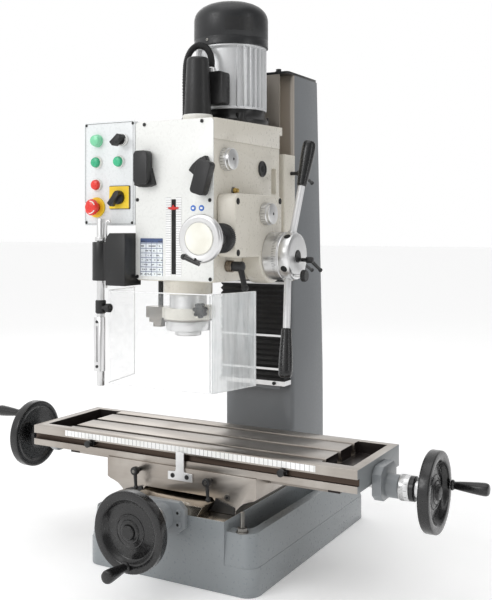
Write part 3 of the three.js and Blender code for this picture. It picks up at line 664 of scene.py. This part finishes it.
dress("motor_flange", black_paint, 1.0)
dress("speed_lever_left", matte_black, 1.8, 3)
dress("speed_lever_right", matte_black, 1.8, 3)
dress("main_switch", matte_black, 1.0)
dress("selector_switch", matte_black, 0.8)
nodes["guard_shield"].modifiers.clear()


# ---- handwheels, grips and screws --------------------------------------------
def handwheel(name, axis, u, v, face, out, body):
    def h(d):
        return face - out * d
    profile = [
        (11.6, h(-0.4)), (12, h(0.2)), (13.5, h(0.4)), (14.5, h(2)), (15.5, h(5.4)), (20, h(6.8)),
        (21, h(6.4)), (22.5, h(6.4)),
        (23.5, h(8)), (30, h(9.8)), (31, h(9)), (33, h(9)), (34, h(10.4)), (46, h(12.4)),
        (54, h(12.6)), (57, h(10.4)),
        (60, h(5.6)), (62.5, h(1.8)), (64.5, h(0.6)), (67, h(0)), (77, h(0)), (78.8, h(0.6)),
        (79.8, h(2)), (80, h(4)),
        (80, h(19)), (79.6, h(21)), (78, h(22.6)), (76, h(23)), (68, h(23)), (65.6, h(22)),
        (64, h(19.6)),
        (61, h(17)), (40, h(17)), (25, h(17.4)), (21, h(20)), (18.4, h(26)), (17, h(36)),
        (11, h(36)),
    ]
    Shape().turned(axis, u, v, profile, 96).make(name + "_rim", gloss_black, body, replaces=[name])
    cap = Shape().turned(axis, u, v,
        [(1, h(4)), (11.5, h(4)), (11.5, h(0.6)), (10.4, h(-0.6)), (1, h(-0.8))], 40)
    cap.make(name + "_cap", matte_black, body)


def grip(name, start, end, body, length):
    way = (Vector(end) - Vector(start)).normalized()
    profile = [(2, 2.0), (9.5, 2.0), (10.5, 3.2), (10.6, 5.5), (9.4, 7.0), (7.8, 8.4), (7.7, 11)]
    k = length / 76
    profile += [(8.4, 16 * k), (9.6, 26 * k), (11, 40 * k), (12.3, 54 * k), (13, 66 * k),
        (12.8, 70 * k), (11.4, 74 * k), (8, 76 * k), (2, 76.2 * k)]
    Shape().spun(start, end, profile, 40).make(name + "_body", gloss_black, body, replaces=[name])
    Shape().spun(start, end, [(7.4, 0.2), (8.4, 0.8), (8.4, 1.9), (3, 2.1)],
        32).make(name + "_collar", silver, body)


handwheel("y_handwheel", "y", *Y_AXIS, -437, -1, "y_screw")
grip("y_grip", (0, -438.5, 74), (0, -600, 74), "y_grip", 67)
handwheel("x_handwheel_right", "x", *X_AXIS, 524, 1, "x_screw")
handwheel("x_handwheel_left", "x", *X_AXIS, -514, -1, "x_screw")
grip("x_grip_right", (525.5, -66.5, 214), (900, -66.5, 214), "x_grip_right", 77)
grip("x_grip_left", (-515.5, -164, 268), (-900, -164, 268), "x_grip_left", 75)


def graduations(name, axis, u, v, r, h0, h1, count, body, long_every=5):
    """Fine dark division lines cut on a dial's rim."""
    marks = Shape()
    for i in range(count):
        t = 2 * math.pi * i / count
        reach = (h1 - h0) * (1.0 if i % long_every == 0 else 0.55)
        c, s = math.cos(t), math.sin(t)
        w = 0.32
        corners = [(r - 0.2, -w), (r + 0.07, -w), (r + 0.07, w), (r - 0.2, w)]
        marks.prism(axis, [(u + a * c - b * s, v + a * s + b * c) for a, b in corners], h0,
            h0 + reach)
    marks.make(name, dark_hole, body)


x_shape = Shape().rod("x", *X_AXIS, -503.7, 515.7, 9.7, 32)
for side in (1, -1):
    profile = [
        (16, 444.6), (24.4, 444.6), (25.2, 445.6), (25.6, 447), (25.6, 464.6), (25, 465.8),
        (24, 466.2), (20, 466.2),
        (16, 477), (16, 487 if side > 0 else 477.6), (11, 487.2 if side > 0 else 477.7),
    ]
    x_shape.turned("x", *X_AXIS, [(r, side * h) for r, h in profile], 64)
x_shape.make("x_screw_turned", silver, "x_screw", replaces=["x_screw"])
for side, word in ((1, "right"), (-1, "left")):
    ring = Shape().turned("x", *X_AXIS,
        [(r, side * h) for r, h in ((20, 466.4), (24, 466.4), (25, 467.4), (25, 475), (24, 476),
            (17, 476.6))], 64)
    ring.make("x_ring_" + word, gloss_black, "x_screw")
    h0, h1 = sorted((side * 447.5, side * 463))
    graduations("x_dial_marks_" + word, "x", *X_AXIS, 25.6, h0, h1, 60, "x_screw")

y_shape = Shape().rod("y", *Y_AXIS, -428.7, 70, 10.8, 32)
y_shape.turned("y", *Y_AXIS, [(16, -370), (29.6, -370), (31, -368.6), (31, -352.6), (29, -351),
    (27, -350), (27, -342), (12, -342)], 64)
y_shape.make("y_screw_turned", silver, "y_screw", replaces=["y_screw"])
graduations("y_dial_marks", "y", *Y_AXIS, 31, -368, -354, 60, "y_screw")

# ---- anchor stud and bracket screws ------------------------------------
STUD = (169, -281)
THREAD_PITCH = 2.6
stud = Shape()
for i in range(13):
    z = 128 + i * THREAD_PITCH
    stud.turned("z", *STUD, [(4.0, z), (4.6, z + 0.9), (4.6, z + 1.7), (4.0, z + THREAD_PITCH)], 20)
hexagon(stud, "z", *STUD, 124.3, 131.5, 10.5)
stud.rod("z", *STUD, 121.5, 124.3, 13, 32)
stud.make("anchor_stud_right", steel, "base")
# dark hexagons painted as the shade inside the bracket screws' sockets
for i, (x, z) in enumerate(((-40, 150), (40, 150), (-40, 126), (40, 126))):
    hole = Shape()
    hexagon(hole, "y", x, z, -319.4, -318.6, 3.2)
    hole.make("bracket_socket_%d" % i, dark_hole, "base")

# ---- way cover ------------------------------------------------------------------
def cover_outline(out):
    x, y = 88 - 4.5 + out, 76 + 4.5 - out
    return [
        (-x, 113.7), (-x, y + 3), (-x + 3, y), (x - 3, y), (x, y + 3), (x, 113.7),
        (74.5, 113.7), (74.5, 83.7), (-74.5, 83.7), (-74.5, 113.7),
    ]


rings = []
PLEATS = 18
COVER_Z0, COVER_Z1 = 361, 591.5
for i in range(2 * PLEATS + 1):
    z = COVER_Z0 + (COVER_Z1 - COVER_Z0) * i / (2 * PLEATS)
    rings.append([Vector((x, y, z)) for x, y in cover_outline(4.5 if i % 2 == 0 else 0.0)])
pleats = Shape().shell(rings)
cover = pleats.make("way_cover_pleats", rubber, None, replaces=["bellows"], angle=20)
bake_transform(cover)


def cover_strip(z0, z1, front=75, back=112):
    band = [(-89, back), (-89, front), (89, front), (89, back)]
    inner = [(88.2, back), (88.2, front + 0.8), (-88.2, front + 0.8), (-88.2, back)]
    return Shape().prism("z", band + inner, z0, z1)


for z in (469, 389.5):
    made = cover_strip(z - 2.5, z + 2.5).make("way_cover_strip_%d" % z, silver, None, angle=20)
    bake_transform(made)
cover_strip(350, 361).make("way_cover_strip_low", silver, "base", angle=20)
cover_strip(592.4, 598).make("way_cover_strip_top", silver, "carriage", angle=20)
cover_strip(598, 612.6).make("way_cover_flange", matte_black, "carriage", angle=20)
socket_screw("way_cover_screw", "y", 62, 355.5, 74.6, -1, 4.2, "base")

# ---- saddle details ------------------------------------------------------------
plate = [(-24, 195.5), (36.5, 195.5), (36.5, 213), (17, 214.5), (15.5, 220), (15.5, 254), (13, 256),
    (-2, 256), (-4.5, 254), (-4.5, 220), (-6, 214.5), (-24, 213)]
Shape().prism("y", plate, -256.6, -253.2).make("pointer_plate", silver, "saddle", bevel=0.6)
for i, x in enumerate((-12, 23)):
    socket_screw("pointer_screw_%d" % i, "y", x, 205, -256.4, -1, 5.0, "saddle", depth=1.6)
socket_screw("gib_screw", "y", 119, 176, -253, -1, 7.0, "saddle", steel, 2.0)


def small_lever(name, x, z, body):
    y = -253
    tip = (x + 7, y - 24, z - 33)
    shape = Shape().rod("y", x, z, y - 22, y - 0.3, 5, 32)
    shape.turned("y", x, z, [(6.5, y - 24), (8.6, y - 22.4), (9.2, y - 19), (8.6, y - 12),
        (6.5, y - 9)], 32)
    shape.bar((x, y - 17, z), tip, 4.4, 3.2, 24).ball(tip, 5.4, 28)
    shape.make(name + "_body", matte_black, body, replaces=[name])
    cap = Shape().rod("y", x, z, y - 24.5, y - 23.6, 3.6, 24)
    cap.make(name + "_cap", steel, body)


small_lever("saddle_lock_left", -99, 206, "saddle_lock_left")
small_lever("saddle_lock_right", 80, 206, "saddle_lock_right")

for side in (-1, 1):
    Shape().prism("y", [(side * 79, 144.2), (side * 137, 144.2), (side * 137, 158),
        (side * 92, 171), (side * 90, 164.5)], -256.5, -253.2).make(
        "way_wiper_%s" % ("right" if side > 0 else "left"), matte_black, "saddle", bevel=0.4)

# ruler along the table's front band
Shape().prism("y", rounded(-307, 313, 253.6, 266, 0.6, 2), -250.6, -249.6).make("table_ruler",
    ruler_look, "table")


# ---- head: screws, scale, chart and signs on the plate --------------------------------
for i, (x, z) in enumerate(((-74, 947), (69, 947), (-92, 787), (88, 784), (-92, 623), (89, 622))):
    socket_screw("plate_screw_%d" % i, "y", x, z, PLATE_FACE, -1, 4.0, "head", depth=1.6)
for i, (x, z) in enumerate(((-229.4, 953), (-104, 952), (-229.5, 739), (-106, 738))):
    socket_screw("panel_screw_%d" % i, "y", x, z, PLATE_FACE, -1, 3.2, "head", depth=1.2)
for side, (x0, x1) in (("left", (-19, -6.5)), ("right", (6.5, 19))):
    Shape().prism("y", rounded(x0, x1, 626, 791, 1.0, 3), -271.7,
        -270.8).make("depth_scale_" + side, scale_look, "head")
# dark sheet painted as the shade behind the depth scale's slot
Shape().prism("y", [(-5.4, 630), (5.4, 630), (5.4, 787), (-5.4, 787)], -270.7,
    -269.6).make("slot_shade", dark_hole, "head")
Shape().prism("y", [(-3, 765), (3, 765), (13, 767.5), (13, 770), (3, 771), (0, 776), (-3, 771),
    (-13, 770), (-13, 767.5)], -273.4, -271.9).make("depth_pointer", red_mark, "head")
Shape().prism("y", rounded(-84, -27, 625, 705, 1.5, 3), -271.7, -270.8).make("speed_chart",
    chart_look, "head")
for i, x in enumerate((48, 68)):
    Shape().turned("y", x, 768, [(1, -270.8), (6.3, -270.8), (6.3, -271.4), (5.8, -271.7),
        (1, -271.7)], 40).make("round_sign_%d" % i, blue, "head")
    Shape().prism("y", [(x - 2.8, 766), (x + 2.8, 766), (x + 2.8, 770), (x - 2.8, 770)], -271.95,
        -271.6).make("round_sign_mark_%d" % i, white_plastic, "head")
glass = Shape().turned("x", *GLASS,
    [(13, 96), (18, 96), (18, 98.5), (16.6, 100), (13.5, 100), (13, 98.6)], 56)
glass.make("sight_glass_ring", matte_black, "head")
Shape().turned("x", *GLASS, [(1, 96), (13.2, 96), (13.2, 98.0), (8, 98.4), (1, 98.6)],
    48).make("sight_glass", brass, "head")
Shape().turned("x", *GLASS, [(1, 98), (7.5, 98), (7.5, 99), (6, 99.4), (1, 99.5)],
    40).make("sight_glass_centre", dark_hole, "head")
Shape().turned("x", *OIL_CUP, [(1, 96), (8, 96), (8, 98), (7, 99), (1, 99)],
    32).make("oil_cup_base", steel, "head")
cup = Shape().turned("x", *OIL_CUP,
    [(1, 98.8), (6, 98.8), (6, 103), (4.4, 104.4), (4.4, 108.6), (1, 109.6)], 32)
cup.make("oil_cup", brass, "head")
# dark discs painted as the shade inside the holes in the feed box's side
for i, (y, z) in enumerate(((-246.5, 781.6), (-52.6, 786.3), (-245.7, 676.3))):
    screw = Shape().turned("x", y, z, [(1, 140), (6.8, 140), (6.8, 140.6), (6.2, 141), (1, 141)],
        28)
    screw.make("feed_box_hole_shade_%d" % i, dark_hole, "head")

# ---- dials, hub and levers ----------------------------------------------------------
def dial(name, y, z, x, body):
    profile = [
        (1, x + 0.3), (23.2, x + 0.3), (24, x + 1.2), (24, x + 13.2), (23.2, x + 14.2),
        (22.4, x + 14.8),
        (22.4, x + 20.4), (21.6, x + 21.4), (20.6, x + 21.8), (1, x + 21.8),
    ]
    Shape().turned("x", y, z, profile, 72).make(name + "_body", silver, body, replaces=[name])
    graduations(name + "_marks", "x", y, z, 24, x + 2, x + 12.4, 24, body, 2)
    Shape().turned("x", y, z, [(1, x + 21.6), (3, x + 21.6), (3, x + 21.95), (1, x + 22)],
        24).make(name + "_dot", dark_hole, body)


dial("dial_front", -224, 870, HEAD_SIDE, "dial_front")
dial("dial_side", -128, 757, BOX_FACE, "dial_side")

hub_profile = [
    (1, BOX_FACE + 0.3), (51, BOX_FACE + 0.3), (52, BOX_FACE + 1.2), (52, BOX_FACE + 33.2),
    (51.2, BOX_FACE + 34), (49, BOX_FACE + 34.4), (48.6, BOX_FACE + 36.4),
    (50, BOX_FACE + 37.2), (50.5, BOX_FACE + 38.4), (50.5, BOX_FACE + 57), (49.4, BOX_FACE + 59.4),
    (47, BOX_FACE + 60.8), (40, BOX_FACE + 61.2), (14.4, BOX_FACE + 61.2),
    (13.6, BOX_FACE + 60.4), (1, BOX_FACE + 60.2),
]
hub = Shape().turned("x", HUB_Y, HUB_Z, hub_profile, 112)
out = math.radians(5.1)
feed = math.radians(14)
way = Vector((math.sin(out), math.sin(feed), math.cos(feed)))


def along(sign, r):
    return Vector((178.4 + r * way.x, HUB_Y + sign * r * way.y, HUB_Z + sign * r * way.z))


rods = Shape()
for sign in (1, -1):
    rods.spun(along(sign, 40), along(sign, 200), [(7.75, 0), (7.75, 118)], 32)
    hub.spun(along(sign, 40), along(sign, 200), [(9.6, 8), (10.6, 9), (10.6, 13.4), (9.6, 14.4)],
        32)
hub.make("feed_hub_turned", silver, "feed_hub", replaces=["feed_hub"])
rods.make("feed_lever_rods", lever_rod, "feed_hub")
cap = Shape().turned("x", HUB_Y, HUB_Z,
    [(1, BOX_FACE + 60), (13.2, BOX_FACE + 60), (13.2, BOX_FACE + 62), (12.4, BOX_FACE + 62.6),
        (1, BOX_FACE + 62.8)], 48)
cap.make("feed_hub_cap", matte_black, "feed_hub")
graduations("feed_hub_marks", "x", HUB_Y, HUB_Z, 52, BOX_FACE + 22, BOX_FACE + 32.6, 90, "feed_hub")
for i, angle in enumerate((-32, -121, 58, 149)):
    t = math.radians(angle)
    c, s = math.sin(t), math.cos(t)
    start = Vector((BOX_FACE + 48.5, HUB_Y + 44 * c, HUB_Z + 44 * s))
    end = start + Vector((0, c, s))
    Shape().spun(start, end, [(1, 0), (7.4, 0), (7.4, 6.6), (6.6, 7.4), (1, 7.4)],
        32).make("feed_hub_plug_%d" % i, dark_hole, "feed_hub")
for sign, name in ((1, "feed_grip_upper"), (-1, "feed_grip_lower")):
    profile = [
        (2, 0), (9.2, 0), (10.4, 0.8), (11, 3), (11.2, 8), (11.8, 18), (12.8, 32), (13.8, 48),
        (14.5, 62), (14.9, 76),
        (14.9, 88), (14.4, 95), (13.2, 99.6), (11, 102.4), (8, 103.4), (1, 103.6),
    ]
    Shape().spun(along(sign, 157.4), along(sign, 300), profile, 48).make(name + "_body",
        gloss_black, "feed_hub", replaces=[name])

wheel = Shape().turned("y", WHEEL_X, WHEEL_Z, [
    (1, -257.4), (13.6, -257.4), (13.6, -273), (17, -291), (15.4, -296), (15, -312), (15.4, -322),
    (17, -330), (22, -341),
    (30, -345), (41, -349.4), (45, -351.4), (47.2, -355), (48, -359), (48, -362), (47.2, -365),
    (45.4, -367.4), (43, -368.4),
    (40, -368.2), (33, -367.2), (32.0, -366), (1, -366),
], 96)
wheel.make("fine_feed_wheel_turned", silver, "fine_feed_wheel", replaces=["fine_feed_wheel"])
knurl = Shape()
for i in range(48):
    t = 2 * math.pi * i / 48
    c, s = math.cos(t), math.sin(t)
    knurl.prism("y", [(WHEEL_X + a * c - b * s, WHEEL_Z + a * s + b * c) for a,
        b in ((28, -1.3), (30.4, -0.7), (30.4, 0.7), (28, 1.3))], -288.6, -273)
knurl.turned("y", WHEEL_X, WHEEL_Z,
    [(1, -290.6), (28.6, -290.6), (29.4, -289.4), (29.4, -273.2), (28.6, -272.4), (1, -272.4)], 64)
knurl.make("fine_feed_collar", matte_black, "fine_feed_wheel")
Shape().turned("y", WHEEL_X, WHEEL_Z,
    [(1, -365.6), (31, -365.6), (31, -367.8), (30, -368.6), (1, -368.9)], 80).make(
    "fine_feed_disc", ivory, "fine_feed_wheel")
crank = Shape().bar((88, -372, 671), (124, -372, 657), 4.8, 3.9, 28).ball((88, -372, 671), 6,
    28).bar((112, -374, 662), (112, -362, 668), 3.9, 3.9, 24)
crank.make("fine_feed_crank", gloss_black, "fine_feed_wheel")

lock = Shape().turned("x", *QUILL_LOCK,
    [(1, 110.4), (9, 110.4), (10.5, 112), (10.5, 132.6), (9.4, 135), (7, 136.4), (1, 136.8)], 48)
lock.bar((128, -215, 646), (143, -222, 603.5), 6.8, 5.4, 32).ball((143, -222, 603.5), 7.6, 32)
lock.make("quill_lock_body", matte_black, "quill_lock", replaces=["quill_lock"])
Shape().rod("x", *QUILL_LOCK, 96.3, 111, 12.5, 48, 1.0).make("quill_lock_spacer", ways,
    "quill_lock")


def clamp_lever(name, x0, x1, y, z, tip, knob, body):
    shape = Shape().rod("x", y, z, x0, x1 - 12, 4.2, 32)
    shape.turned("x", y, z, [(4.4, x1 - 15), (6.2, x1 - 14.6), (6.8, x1 - 13.4), (6.8, x1 - 1.4),
        (6, x1 + 0.6), (4.4, x1 + 1.4), (1, x1 + 1.5)], 40)
    shape.bar((x1 - 5, y, z), tip, 4.2, 3.3, 28).ball(tip, knob, 28)
    shape.make(name + "_arm", matte_black, body, replaces=[name])


clamp_lever("carriage_lock_upper", 100.3, 133, 87, 856, (129, 145.3, 835.3), 4.8,
    "carriage_lock_upper")
clamp_lever("carriage_lock_lower", 100.3, 133, 87, 645.5, (129, 145.3, 624.8), 4.8,
    "carriage_lock_lower")
clamp_lever("hub_lock", 201.3, 226.5, -69.3, 657.6, (228, -31, 634.5), 4.8, "hub_lock")
screw = Shape().turned("x", THUMB_Y, THUMB_Z,
    [(11, 220.2), (12, 220.4), (12.4, 221.2), (12.4, 229), (11.2, 230.4), (1, 230.5)], 48)
screw.turned("x", THUMB_Y, THUMB_Z, [(1, 220.2), (11.4, 220.2), (11.4, 226), (1, 226)], 40)
for i in range(36):
    t = 2 * math.pi * i / 36
    c, s = math.cos(t), math.sin(t)
    screw.prism("x", [(THUMB_Y + a * c - b * s, THUMB_Z + a * s + b * c) for a,
        b in ((12, -0.5), (12.7, -0.2), (12.7, 0.2), (12, 0.5))], 221.4, 228.8)
screw.make("thumbscrew_knurled", matte_black, "thumbscrew", replaces=["thumbscrew"])
Shape().rod("x", THUMB_Y, THUMB_Z, 201.3, 220.3, 3.2, 28).make("thumbscrew_stem", silver,
    "thumbscrew")

star = Shape().rod("y", STAR_X, STAR_Z, -265, -249.7, 5, 28)
star.turned("y", STAR_X, STAR_Z,
    [(1, -267.4), (9, -267.4), (11, -266), (11, -254.8), (9, -253.4), (1, -253.4)], 40)
for i in range(7):
    t = 2 * math.pi * i / 7 + 0.3
    star.turned("y", STAR_X + 12 * math.cos(t), STAR_Z + 12 * math.sin(t),
        [(2.4, -266.6), (4.0, -265.4), (4.2, -264), (4.2, -257), (4.0, -255.4), (2.4, -254.4)], 24)
star.make("star_knob_body", matte_black, "star_knob", replaces=["star_knob"])
Shape().rod("z", -70, -214, 557.2, 690, 5.6, 28).make("depth_stop_rod", black_paint, "quill")

# ---- drawbar cover, motor and conduit -----------------------------------------------
Shape().turned("z", 0, DRAWBAR_Y, [
    (1, 973), (29.4, 973), (29.6, 975), (24.4, 1089), (23.8, 1093), (22.4, 1096.6), (19.5, 1098.6),
    (15, 1099.2), (1, 1099.4),
], 72).make("drawbar_cover_smooth", matte_black, "head", replaces=["drawbar_cover"])
Shape().turned("z", 0, DRAWBAR_Y,
    [(1, 961.3), (32.0, 961.3), (32.6, 962.2), (32.6, 971.6), (31.6, 973), (1, 973.2)], 64).make(
    "drawbar_cover_ring", white_plastic, "head")

BODY_Z0, BODY_Z1 = 994.3, 1140
FINS = 32
motor = Shape().rod("z", 0, MOTOR_Y, BODY_Z0, BODY_Z1, 73.4, 96)
for i in range(FINS):
    t = 2 * math.pi * (i + 0.5) / FINS
    if abs(math.sin(t) + 1) < 0.16:
        continue
    c, s = math.cos(t), math.sin(t)
    fin = [(70, -1.9), (81.6, -1.3), (82.4, -0.7), (82.4, 0.7), (81.6, 1.3), (70, 1.9)]
    motor.prism("z", [(a * c - b * s, MOTOR_Y + a * s + b * c) for a, b in fin], BODY_Z0 + 1,
        BODY_Z1 - 1)
motor.turned("z", 0, MOTOR_Y, [(60, 1132), (78, 1134), (82, 1137), (82, 1139.8), (60, 1140)], 96)
motor.turned("z", 0, MOTOR_Y, [(60, 994.4), (82, 994.6), (82, 998), (79, 1001), (60, 1002)], 96)
motor.make("motor_body_finned", alu, "head", replaces=["motor_body"])

cover_profile = [
    (70, 1140.3), (84, 1140.3), (86, 1141.4), (86, 1156), (85.4, 1157), (85.4, 1160), (86, 1161),
    (86, 1204), (85.4, 1210),
    (83.6, 1216.5), (80.6, 1222.4), (76, 1228), (69, 1234), (60, 1239), (50, 1242.6), (38, 1245.6),
    (24, 1247.2), (8, 1247.9), (1, 1248),
]
Shape().turned("z", 0, MOTOR_Y, cover_profile, 112).make("motor_fan_cover_turned", fan_black,
    "head", replaces=["motor_fan_cover"])
plate_points = []
for i in range(13):
    t = math.radians(-70 + 44 * i / 12)
    plate_points.append((86.6 * math.cos(t), MOTOR_Y + 86.6 * math.sin(t)))
for i in range(12, -1, -1):
    t = math.radians(-70 + 44 * i / 12)
    plate_points.append((85.2 * math.cos(t), MOTOR_Y + 85.2 * math.sin(t)))
Shape().prism("z", plate_points, 1170, 1200).make("motor_blank_plate", matte_black, "head")
socket_screw("fan_cover_screw", "y", -14, 1151, MOTOR_Y - 84.8, -1, 3.2, "head", steel, 1.8)

route = [
    (6, -125, 1084.4), (6, -125, 1100), (1, -125, 1118), (-12, -125, 1132), (-31, -125, 1136),
    (-48, -125, 1126),
    (-59, -125, 1104), (-62, -125, 1070), (-62, -125, 1020), (-62, -125, 990), (-62, -125, 961.3),
]
RIBS = 74
hose = Shape().tube(route, lambda f: 7.0 + 0.55 * math.cos(2 * math.pi * RIBS * f), 24, RIBS * 8)
hose.make("motor_conduit_ribbed", rubber, "head", replaces=["motor_conduit"], slot="rubber_cloth",
    angle=60)
gland = Shape().turned("z", 6, -125,
    [(1, 1071), (11.2, 1071), (11.2, 1076.4), (9.6, 1077.2), (9.6, 1082.6), (8.6, 1084),
        (1, 1084.2)], 24)
gland.make("conduit_gland", silver, "head")
gland = Shape().turned("z", -62, -125,
    [(1, 961), (11, 961), (11, 967), (9.2, 968), (9.2, 974), (8, 975), (1, 975)], 24)
gland.make("conduit_gland_low", matte_black, "head")

# ---- control box -----------------------------------------------------------------

def push_button(name, x, z, look, body):
    Shape().turned("y", x, z, [(1, PLATE_FACE - 12.2), (8.8, PLATE_FACE - 12),
        (10, PLATE_FACE - 11.2), (10.6, PLATE_FACE - 9.8), (10.8, PLATE_FACE + 5),
        (1, PLATE_FACE + 5)], 44).make(
        name + "_cap", look, body, replaces=[name])
    ring = Shape().turned("y", x, z,
        [(11.4, PLATE_FACE - 0.5), (11.4, PLATE_FACE - 5.2), (12.8, PLATE_FACE - 5.4),
            (13.8, PLATE_FACE - 4), (14.2, PLATE_FACE - 0.5)], 48)
    ring.make(name + "_ring", white_plastic, "head")


push_button("button_green_left", -199.5, 870.5, green, "button_green_left")
push_button("button_green_right", -139, 870.5, green, "button_green_right")
push_button("button_red", -199.5, 821.3, red, "button_red")
Shape().turned("y", STOP_X, STOP_Z, [
    (1, PLATE_FACE - 28.2), (8, PLATE_FACE - 28), (13, PLATE_FACE - 26.6), (16.4, PLATE_FACE - 24),
    (18, PLATE_FACE - 20.6), (17.6, PLATE_FACE - 17.4), (16, PLATE_FACE - 15.4),
    (11, PLATE_FACE - 14), (9.9, PLATE_FACE - 12), (9.9, PLATE_FACE + 5), (1, PLATE_FACE + 5),
], 56).make("emergency_stop_mushroom", red, "emergency_stop", replaces=["emergency_stop"])
arcs = Shape()
for i in range(3):
    a0 = math.radians(20 + 120 * i)
    points = [(r, a0 + math.radians(70) * j / 10) for r,
        steps in ((12.4, range(11)), (14.2, range(10, -1, -1))) for j in steps]
    arcs.prism("y", [(STOP_X + r * math.cos(a), STOP_Z + r * math.sin(a)) for r, a in points],
        PLATE_FACE - 27.2, PLATE_FACE - 25.2)
arcs.make("emergency_stop_arcs", white_plastic, "emergency_stop")
Shape().turned("y", STOP_X, STOP_Z,
    [(11, PLATE_FACE - 0.4), (11, PLATE_FACE - 4.4), (21, PLATE_FACE - 4.2), (22.2, PLATE_FACE - 3),
        (22.2, PLATE_FACE - 0.4)], 56).make(
    "emergency_stop_ring", yellow, "head")
Shape().turned("y", -198, 918, [
    (1, PLATE_FACE - 0.4), (14, PLATE_FACE - 0.4), (14, PLATE_FACE - 3), (12.6, PLATE_FACE - 4.4),
    (12.5, PLATE_FACE - 11), (11, PLATE_FACE - 14), (6, PLATE_FACE - 15.8), (1, PLATE_FACE - 16),
], 48).make("signal_lamp", lamp, "head")
Shape().prism("y", rounded(-164, -112, 769, 817, 2, 4), PLATE_FACE - 4.4,
    PLATE_FACE - 2).make("main_switch_plate", yellow, "head", bevel=0.6)
Shape().prism("y", rounded(-165.5, -110.5, 767.5, 818.5, 3, 4), PLATE_FACE - 2,
    PLATE_FACE - 0.2).make("main_switch_backing", matte_black, "head")
Shape().turned("y", -129, 917, [(1, PLATE_FACE - 0.3), (12.4, PLATE_FACE - 0.3),
    (13, PLATE_FACE - 1), (13, PLATE_FACE - 8.6), (12, PLATE_FACE - 10), (10.5, PLATE_FACE - 10.6)],
    48).make(
    "selector_ring", white_plastic, "head")
# thin dark outline of the control panel
outline = Shape()
for x0, x1, z0, z1 in ((-232, -103, 955.2, 956), (-232, -103, 735, 735.8),
    (-232, -231.2, 735.8, 955.2), (-103.8, -103, 735.8, 955.2)):
    outline.box(x0, x1, PLATE_FACE - 0.35, PLATE_FACE + 0.2, z0, z1)
outline.make("panel_outline", matte_black, "head")

# ---- guard furniture ----------------------------------------------------------------
knob = Shape().rod("z", *POLE, 543, 572, 11.5, 36, 2.0)
knob.rod("x", -304, 556, -160, -146, 5, 28)
knob.turned("x", -304, 556, [(1, -150), (8, -150), (9.5, -148.6), (9.5, -140), (8, -138.6),
    (1, -138.4)], 32)
knob.make("guard_knob", matte_black, "guard")
wire = Shape().rod("z", WIRE_X, POLE[1], 598, 736, 2.4, 20)
wire.tube([(-153.5, -300, 730), (-153.5, -300, 737), (-151.5, -299, 741.5), (-147, -298, 742),
    (-144, -298, 739)], 2.3, 14, 40)
wire.make("guard_wire", silver, "head")
# painted highlights along the sheet's cut edges, and painted shade lines along its fold
FOLD_X = 106.5
front_line = []
for i in range(13):
    x = -150 + (FOLD_X + 148.5) * i / 12
    front_line.append((x, -295 - 5 * (1 - ((x + 22.5) / 127.5) ** 2)))
edge_line = [(-175, -165), (-154.5, -288)] + front_line + [(137, -165)]
edges = Shape()
for z in (393.6, 592.4):
    for a, b in zip(edge_line, edge_line[1:]):
        edges.bar((a[0], a[1], z), (b[0], b[1], z), 1.1, 1.1, 8)
for x, y in ((-174.6, -166), (136.6, -166)):
    edges.bar((x, y, 394), (x, y, 592), 1.6, 1.6, 8)
edges.make("guard_shield_edge_highlights", edge_highlight_look, "guard")
folds = Shape()
for x, y in ((FOLD_X, -291.6), (FOLD_X - 4.5, -294.4)):
    folds.bar((x, y, 395), (x, y, 591), 0.7, 0.7, 8)
folds.make("guard_shield_fold_shade", fold_shade_look, "guard")
for i, z in enumerate((430, 526)):
    Shape().rod("y", -168, z, -315.2, -312.6, 3.2, 24).make("guard_rail_screw_%d" % i, black_paint,
        "guard")
